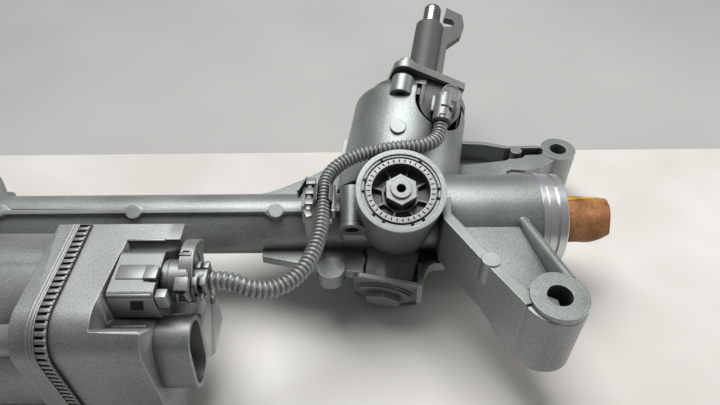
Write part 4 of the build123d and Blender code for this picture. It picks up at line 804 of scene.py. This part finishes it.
# %% [markdown]
# ## Slanted rear corner
# The unit's rear upper corner is slanted to clear the tube. Copies of the frame's cover, board and motor are
# merged, and one slanted plane cuts them, and the band too. The cut edges are filled again, so the walls stay
# closed, and a plate closes the opening. A Weighted Normal modifier keeps the flat faces evenly shaded.

# %% Slanted rear corner
CUT_POINT = Vector((0, -64, 63)) * MM
CUT_TILT = radians(40)
CUT_DIRECTION = Vector((0, math.cos(CUT_TILT), math.sin(CUT_TILT)))
MERGE_REACH = 0.002 * MM


def cut_corner(shape):
    """Cuts the rear upper corner off a closed shape and closes the cut."""
    parts = bmesh.ops.bisect_plane(shape, geom=shape.verts[:] + shape.edges[:] + shape.faces[:],
                                   dist=SAME_PLACE, plane_co=CUT_POINT, plane_no=CUT_DIRECTION, clear_outer=True)
    rim = [edge for edge in only(parts["geom_cut"], EDGE) if edge.is_boundary]
    if rim:
        bmesh.ops.triangle_fill(shape, edges=rim, use_beauty=True, normal=CUT_DIRECTION)


def cut_copy(node, name, material):
    """A merged copy of a frame node with its corner cut, which stands for the node."""
    def fill(shape):
        shape.from_mesh(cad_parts[node].data)
        bmesh.ops.remove_doubles(shape, verts=shape.verts, dist=MERGE_REACH)
        cut_corner(shape)
    made = new_object(name, fill, material, 25)
    even = made.modifiers.new("even_shading", "WEIGHTED_NORMAL")
    even.keep_sharp = True
    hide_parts(node)
    return made


cut_copy("circuit_board", "cut_circuit_board", finished["circuit_board"])
cut_cover = cut_copy("control_cover", "cover_shell", lacquered_metal)
cut_motor = cut_copy("motor_housing", "motor_can", lacquered_metal)
CORNER_MIDDLE = Vector((-289, -53.2, 50.1)) * MM - CUT_DIRECTION * 0.95 * MM
blocks("corner_plate", [(axes(CORNER_MIDDLE, RIGHT, CUT_DIRECTION), (29, 29, 1.6))], lacquered_metal,
       0.2)
for piece in (crimp_ring, crimp_teeth, crimp_gap):
    shape = bmesh.new()
    shape.from_mesh(piece.data)
    cut_corner(shape)
    shape.to_mesh(piece.data)
    shape.free()
print("cover faces", len(cut_cover.data.polygons), "motor faces", len(cut_motor.data.polygons))

# %% [markdown]
# ## Crumpled paper on the bar's end
# The paper is rolled round the bar, and its end is pressed down and cut askew. It starts as a smooth tube of many
# rings. One function then moves each point: wide flat folds go in or out by half a millimetre, the upper side
# drops towards the end, and the lower corner is cut back at a slant.

# %% Crumpled paper
PAPER_LEFT, PAPER_RIGHT, PAPER_R = -2, 42, 18.2
PAPER_TOP = radians(56)
END_DROP, CORNER_CUT, CORNER_SLOPE, FRONT_CUT, FOLD_DEPTH = 0.19, 9.4, 1.25, 2.6, 0.55
PAPER_RINGS, PAPER_SIDES = 34, 120


def folds(angle, x):
    """Height of the paper's folds in millimetres, nowhere above zero."""
    creases = abs(math.sin(angle * 3 + x * 0.035 + 0.4))
    dents = math.sin(angle * 4 - x * 0.16) * math.sin(x * 0.22 + angle * 2)
    return FOLD_DEPTH * (creases + 0.4 * dents - 1.4)


def pressed(point):
    """Where a point of the smooth roll comes to lie, in millimetres."""
    x, y, z = point
    angle = math.atan2(z, y)
    along = max(0, (x - PAPER_LEFT) / (PAPER_RIGHT - PAPER_LEFT))
    radius = math.hypot(y, z) + folds(angle, x) * min(1, along * 5)
    up, side = radius * math.cos(angle - PAPER_TOP), radius * math.sin(angle - PAPER_TOP)
    corner = CORNER_SLOPE * max(0, CORNER_CUT - PAPER_R - up) + FRONT_CUT * max(0, side / PAPER_R) ** 2
    up *= 1 - END_DROP * along if up > 0 else 1
    reach = 1 - corner / (PAPER_RIGHT - PAPER_LEFT)
    return Vector((PAPER_LEFT + (x - PAPER_LEFT) * reach,
                   up * math.cos(PAPER_TOP) - side * math.sin(PAPER_TOP),
                   up * math.sin(PAPER_TOP) + side * math.cos(PAPER_TOP)))


def roll_frames(right, rings):
    """Planes across the roll, from its left edge to a place on the right."""
    return [axes(Vector((PAPER_LEFT + (right - PAPER_LEFT) * i / rings, 0, 0)) * MM, (0, 1, 0), RIGHT)
            for i in range(rings + 1)]


def make_paper(shape):
    swept_rings(shape, roll_frames(PAPER_RIGHT, PAPER_RINGS), [PAPER_R * MM] * (PAPER_RINGS + 1), PAPER_SIDES)
    for vertex in shape.verts:
        if math.hypot(vertex.co.y, vertex.co.z) > 1 * MM:
            vertex.co = pressed(vertex.co / MM) * MM


paper = new_object("crumpled_paper", make_paper, kraft_paper, 22, "rack")
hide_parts("protective_paper")
print("paper faces", len(paper.data.polygons))

# %% [markdown]
# ## Folded strip of the paper
# Where the sheet's edge is folded over, a lighter strip lies along the top and tapers to the right. It is a thin
# curved plate that goes through the same function as the roll, so it lies on the paper everywhere.

# %% Folded strip
STRIP_RIGHT, STRIP_RINGS, STRIP_PARTS = 37, 20, 9
STRIP_FROM, STRIP_TO, STRIP_TAPER = -10, 40, 0.75
STRIP_LIFT, STRIP_SUNK = 0.55, 0.3


def make_folded_strip(shape):
    turns = [radians(STRIP_FROM + (STRIP_TO - STRIP_FROM) * i / STRIP_PARTS) + PAPER_TOP
             for i in range(STRIP_PARTS + 1)]
    arcs = [(PAPER_R + STRIP_LIFT, turns), (PAPER_R - STRIP_SUNK, turns[::-1])]
    outline = [(radius * math.cos(angle), radius * math.sin(angle)) for radius, line in arcs for angle in line]
    swept(shape, roll_frames(STRIP_RIGHT, STRIP_RINGS), outline)
    for vertex in shape.verts:
        x, y, z = vertex.co / MM
        along = (x - PAPER_LEFT) / (STRIP_RIGHT - PAPER_LEFT)
        spread = (math.atan2(z, y) - PAPER_TOP) * (1 - STRIP_TAPER * along)
        radius = math.hypot(y, z)
        vertex.co = pressed((x, radius * math.cos(PAPER_TOP + spread), radius * math.sin(PAPER_TOP + spread))) * MM


folded_strip = new_object("folded_paper_strip", make_folded_strip, folded_edge_paper, 30, "rack")
print("strip faces", len(folded_strip.data.polygons))

# %% [markdown]
# ## Parting rib of the tube
# The tube is cast in a two-part mould, whose seam stays as a double rib along the upper front, with flat pointed
# pads where pins push the casting out. The rib is one outline carried along the tube, and stands out enough to
# shade the groove below it. Each pad is a plate with a pointed oval outline.

# %% Parting rib
RIB_LEFT, RIB_RIGHT = -426, -172
RIB_OUTLINE = [(19, -1.7), (21, -1.7), (21.3, -1.1), (21.3, -0.5), (20.7, -0.1), (20.9, 0.5), (22.9, 0.9),
               (23.1, 1.5), (22.9, 2.2), (19, 3)]
RIB_START_ANGLE, RIB_TURN, RIB_SPANS = 107, 8, 24
PAD_PLACES = [-392, -297, -198]
PAD_OUTLINE = [(-6, 2.4), (-3, 4.6), (0, 5.2), (3, 4.6), (6, 2.4), (9, 0), (6, -2.2), (3, -4.2), (0, -4.8),
               (-3, -4.2), (-6, -2.2), (-9, 0)]
PAD_ANGLE, PAD_FOOT_R, PAD_HEIGHT = 4, 18, 5.4


def tube_frame(x, degrees, radius=0):
    """A plane on the tube: local X points out, local Y to the front, local Z along the tube."""
    angle = radians(degrees)
    out = Vector((0, math.cos(angle), math.sin(angle)))
    return axes(Vector((x, 0, 0)) * MM + out * radius * MM, out, RIGHT)


def rib_angle(x):
    """The rib turns slowly to the front, from left to right."""
    return RIB_START_ANGLE + RIB_TURN * (x - RIB_LEFT) / (RIB_RIGHT - RIB_LEFT)


def make_parting_rib(shape):
    places = [RIB_LEFT + (RIB_RIGHT - RIB_LEFT) * i / RIB_SPANS for i in range(RIB_SPANS + 1)]
    swept(shape, [tube_frame(x, rib_angle(x)) for x in places], RIB_OUTLINE)
    for x in PAD_PLACES:
        foot = tube_frame(x, rib_angle(x) + PAD_ANGLE, PAD_FOOT_R)
        plate(shape, axes(foot.translation, RIGHT, foot.to_3x3().col[0]), PAD_OUTLINE, PAD_HEIGHT, 0.5)


parting_rib = new_object("tube_parting_rib", make_parting_rib, lacquered_metal)
print("rib faces", len(parting_rib.data.polygons))

# %% [markdown]
# ## Blends of the front lug
# The arm's outer face runs round into the lug without a step, and a seam of the mould steps down the lug's right
# side. The blend is a plate with the outline of that curve and a soft upper edge. The seam is the edge of a thin
# skin spun over part of the lug.

# %% Lug blends
LUG_X, LUG_Y, LUG_BOTTOM = -25, -99, -16
BLEND_OUTLINE = [(-52, -90), (-46.7, -100.6), (-43.8, -105.6), (-41.2, -109.2), (-37.8, -112.6), (-33.8, -115),
                 (-29.5, -116.1), (-25, -116.1), (-25, -99), (-40, -90)]


BLEND_FOOT, BLEND_HEIGHT = 0.6, 49.6
SKIN_OUTLINE = [(16.2, 0.6), (17.35, 0.6), (17.35, 48.6), (17.1, 49), (16.2, 49)]
SKIN_START, SKIN_TURN, SKIN_STEPS = radians(-94), radians(134), 28


def make_lug_blend(shape):
    plate(shape, at(0, 0, LUG_BOTTOM + BLEND_FOOT), BLEND_OUTLINE, BLEND_HEIGHT, 1.4)
    start = at(LUG_X, LUG_Y, LUG_BOTTOM) @ Matrix.Rotation(SKIN_START, 4, "Z")
    turned(shape, start, SKIN_OUTLINE, SKIN_STEPS, SKIN_TURN)


lug_blend = new_object("front_lug_blend", make_lug_blend, lacquered_metal)
print("blend faces", len(lug_blend.data.polygons))

# %% [markdown]
# ## Conduit clip's strap
# A toothed strap holds the conduit against a wall on its other side, and ends in a hook. A slim wedge guides it.
# These are a handful of soft boxes on top of the clip's block.

# %% Clip strap
STRAP_X, STRAP_Z = -171.4, 40
strap_rows = [(at(STRAP_X, y, STRAP_Z), (6.4, 6, 4.4)) for y in (-3.5, -13.5, -23.5)]
strap_rows += [(at(STRAP_X - 0.6, y, STRAP_Z - 0.4), (3, 5, 2.8)) for y in (-8.5, -18.5, -28)]
strap_rows += [
    (at(STRAP_X - 0.8, -32.5, STRAP_Z - 1, x_axis=(0.92, 0.4, 0)), (4.4, 7.5, 2.4)),
    (at(-177.2, -6, 38.5, x_axis=(0.93, -0.38, 0)), (1.2, 15, 7.5)),
    (at(-155.6, -20.5, 39), (2.2, 26, 7)),
    (at(-155.6, -20.5, 42.8), (1, 22, 1.2)),
    (at(-157.6, -37.5, 37), (2.6, 2.6, 3)),
]
blocks("clip_strap", strap_rows, lacquered_plastic)
print("strap boxes", len(strap_rows))

# %% [markdown]
# ## Sensor plug on the tower
# The plug has a round cap with a fine rim and a seam across, small latch windows on its barrel, and a dark seal
# ring of painted shade where the conduit leaves it. Its plate leans like the pinion and is turned 15 degrees to
# the side. Windows are near-black blocks of painted shade let into the barrel, so that only their faces show.

# %% Sensor plug
PLATE_TURN = radians(15)
PLATE_DIR = YOKE_DIR * math.cos(PLATE_TURN) + PINION_SIDE * math.sin(PLATE_TURN)
PLATE_SIDE = PINION_DIR.cross(PLATE_DIR)
PLATE_HEIGHT, PLATE_SHIFT = 90, 8
CAP_SPOT = (2.5, 4.5, 55.5)
BARREL_DEPTH, BARREL_END = 50, -20.5
CAP_RIM = [(5.9, -0.3), (5.9, 0.1), (6.3, 0.6), (7.2, 0.6), (7.3, 0.2), (7.3, -0.3)]
SEAL_OUTLINE = [(6.6, 0.1), (7, 0.1), (7, 1.7), (6.6, 1.7)]


def sensor_plate(side, up, depth, turn=0):
    """A plane on the sensor plate: X to the side, Z outwards, turned about the barrel's line."""
    origin = PINION_FOOT + (PINION_DIR * (PLATE_HEIGHT + up) + PLATE_SIDE * (PLATE_SHIFT + side)
                            + PLATE_DIR * depth) * MM
    return axes(origin, PLATE_SIDE, PLATE_DIR) @ Matrix.Rotation(radians(turn), 4, "Y")


def make_sensor_plug(shape):
    turned(shape, sensor_plate(*CAP_SPOT), CAP_RIM, 40)
    block(shape, sensor_plate(*CAP_SPOT), (0.5, 11, 0.7), 0.1)
    block(shape, sensor_plate(3.6, -8, BARREL_DEPTH + 6.3, 30), (3.4, 2.6, 2))
    block(shape, sensor_plate(-6.6, -3.5, 45, -20), (4, 15, 8), 1.6)


sensor_plug = new_object("sensor_plug_cap", make_sensor_plug, lacquered_plastic, 35)


def make_plug_windows(shape):
    rows = [((-1.6, -8.6, 56.3, -8), (5.2, 1.5, 1)), ((3.6, -10.6, 55.6, 30), (3.6, 1, 1.2)),
            ((5, -6.2, 54.2, 40), (2.4, 1, 1.4)), ((-1.9, -16.2, 56.3, -12), (3.8, 0.9, 1)),
            ((-3.7, -17.6, 55.5, -28), (0.9, 3.4, 1))]
    for spot, size in rows:
        block(shape, sensor_plate(*spot), size, 0.1)
    seal_place = axes(sensor_plate(-0.3, BARREL_END, BARREL_DEPTH).translation, PLATE_SIDE, PINION_DIR)
    turned(shape, seal_place, SEAL_OUTLINE, 36)


# The windows and the seal ring are near-black painted shade.
plug_windows = new_object("sensor_plug_windows", make_plug_windows, painted_shade_dark)
print("sensor plug faces", len(sensor_plug.data.polygons), "window faces", len(plug_windows.data.polygons))

# %% [markdown]
# ## Plug of the control unit
# The big plug is locked by a lever, a thin hoop over the plug's drum, and a two-part clamp holds the conduit where
# it leaves. The drum, the hoop and the outlet are turned shapes along X, and the clamp is made of soft boxes.

# %% Big plug
PLUG_Y, PLUG_Z = -96.5, 51.5
PLUG_LEFT, OUTLET_LEFT = -245, -234.5
HOOP_PLACE = (-237, PLUG_Y + 9, PLUG_Z - 3)
HOOP_START, HOOP_TURN = radians(-62), radians(200)
CLAMP_PLACES = (-227.2, -222.6)
DRUM_OUTLINE = [(1, 0.05), (11.2, 0.05), (11.45, 0.4), (11.45, 3), (11.1, 3.2), (11.1, 3.7), (11.45, 3.9),
                (11.45, 13.3), (10.6, 14.5), (1, 14.5)]
HOOP_OUTLINE = [(16.7, 1), (17.9, 1), (17.9, 8.2), (17.5, 8.6), (16.7, 8.6)]
DISC_OUTLINE = [(10.8, 4.4), (16.9, 4.4), (16.9, 5.6), (10.8, 5.6)]
OUTLET_OUTLINE = [(1, 0), (7.4, 0), (7.4, 7), (6.9, 7.2), (6.9, 12.8), (6.4, 13), (1, 13)]


def along_x(x, y, z):
    """A plane that faces right, with its local X upwards."""
    return at(x, y, z, x_axis=(0, 0, 1), z_axis=RIGHT)


def make_plug_drum(shape):
    turned(shape, along_x(PLUG_LEFT, PLUG_Y, PLUG_Z), DRUM_OUTLINE, 64)


plug_drum = new_object("plug_drum", make_plug_drum, lacquered_plastic, 35)
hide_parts("signal_plug")


def make_lever_hoop(shape):
    place = along_x(*HOOP_PLACE)
    turned(shape, place @ Matrix.Rotation(HOOP_START, 4, "Z"), HOOP_OUTLINE, 44, HOOP_TURN)
    turned(shape, place, DISC_OUTLINE, 64)


lever_hoop = new_object("plug_lever_hoop", make_lever_hoop, lacquered_plastic, 35)
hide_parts("plug_lever")


def make_plug_outlet(shape):
    turned(shape, along_x(OUTLET_LEFT, PLUG_Y, PLUG_Z), OUTLET_OUTLINE, 48)
    for x in CLAMP_PLACES:
        block(shape, at(x, PLUG_Y, PLUG_Z), (2.4, 16.4, 13.6), 0.5)
        block(shape, at(x, PLUG_Y - 6.4, PLUG_Z + 6.6, z_axis=(0, -0.35, 0.94)), (3, 4.6, 2.2))
        block(shape, at(x, PLUG_Y + 4.6, PLUG_Z + 6.8), (3, 4.6, 2))
        block(shape, at(x, PLUG_Y - 8.2, PLUG_Z - 6, z_axis=(0, -0.3, 1)), (1.6, 2, 8))


plug_outlet = new_object("plug_outlet_clamp", make_plug_outlet, lacquered_plastic, 35)
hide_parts("cable_outlet")
print("plug faces", [len(piece.data.polygons) for piece in (plug_drum, lever_hoop, plug_outlet)])

# %% [markdown]
# ## Latches and slots of the plug
# Round the drum sit square latches with windows, and the clamp has slots. The latches are soft boxes, and each
# window or slot is a near-black block of painted shade let in, so that only its face shows.

# %% Latches and slots
latch_rows = [
    (at(-248.4, -102.6, 65), (7, 8.6, 2.6)),
    (at(-233, -88.5, 63.6, z_axis=(0, 0.25, 1)), (6.4, 7, 5.2)),
    (at(-232.6, -106.6, 60.4, z_axis=(0, -0.45, 1)), (7.2, 7.2, 4.6)),
    (at(-235.6, -110.2, 53.4, z_axis=(0.2, -0.1, 1)), (1.2, 1.8, 9.6)),
    (at(-230.4, -110.2, 54.2, z_axis=(-0.1, -0.1, 1)), (1.2, 1.8, 8)),
    (at(-233.2, -110.4, 50.6), (3.4, 1.2, 1.2)),
    (at(-241.6, -113.4, 57.4), (5.8, 5.6, 9.6)),
]
blocks("plug_latches", latch_rows, lacquered_plastic, 0.35)
slot_rows = [
    (at(-246.6, -107.2, 64.6), (3.6, 1, 2)),
    (at(-244.5, -102.6, 64.6), (1, 6.4, 2)),
    (at(-233, -88, 65.9, z_axis=(0, 0.25, 1)), (4, 2.6, 1)),
    (at(-233.4, -109.2, 57.6, z_axis=(0, -0.45, 1)), (4.6, 2.2, 1.6)),
    (at(-224.9, PLUG_Y - 6.6, PLUG_Z + 6.5, z_axis=(0, -0.35, 0.94)), (2.4, 3, 1.6)),
    (at(-224.9, PLUG_Y + 4.6, PLUG_Z + 6.6), (2.4, 3, 1.2)),
    (at(-224.9, PLUG_Y - 8.1, PLUG_Z + 1), (2.6, 1, 4)),
    (at(-254.6, -116.7, 56.2, z_axis=(0.25, 0, 1)), (6.6, 1, 7.4)),
]
# The windows and slots are near-black blocks of painted shade.
blocks("plug_slots", slot_rows, painted_shade_dark, 0.25)
print("latches", len(latch_rows), "slots", len(slot_rows))

# %% [markdown]
# ## Trim of the control unit's cover
# The moulded cover has rounded lips along its top step, its front edge and the pocket's floor, and a thin raised
# panel by the plug. Each is a soft box that stands out a little.

# %% Cover trim
trim_rows = [
    (at(-258.6, -76.3, 62), (21, 1.8, 2.2)),
    (at(-257.6, -101.2, 64.5), (18.6, 9.6, 0.6)),
    (at(-257, -116.2, 64), (23, 1.4, 1.6)),
    (at(-262, -122, 44.6, z_axis=(0, -0.35, 1)), (21, 1.6, 1.6)),
]
blocks("cover_trim", trim_rows, lacquered_metal, 0.5)
print("trim boxes", len(trim_rows))
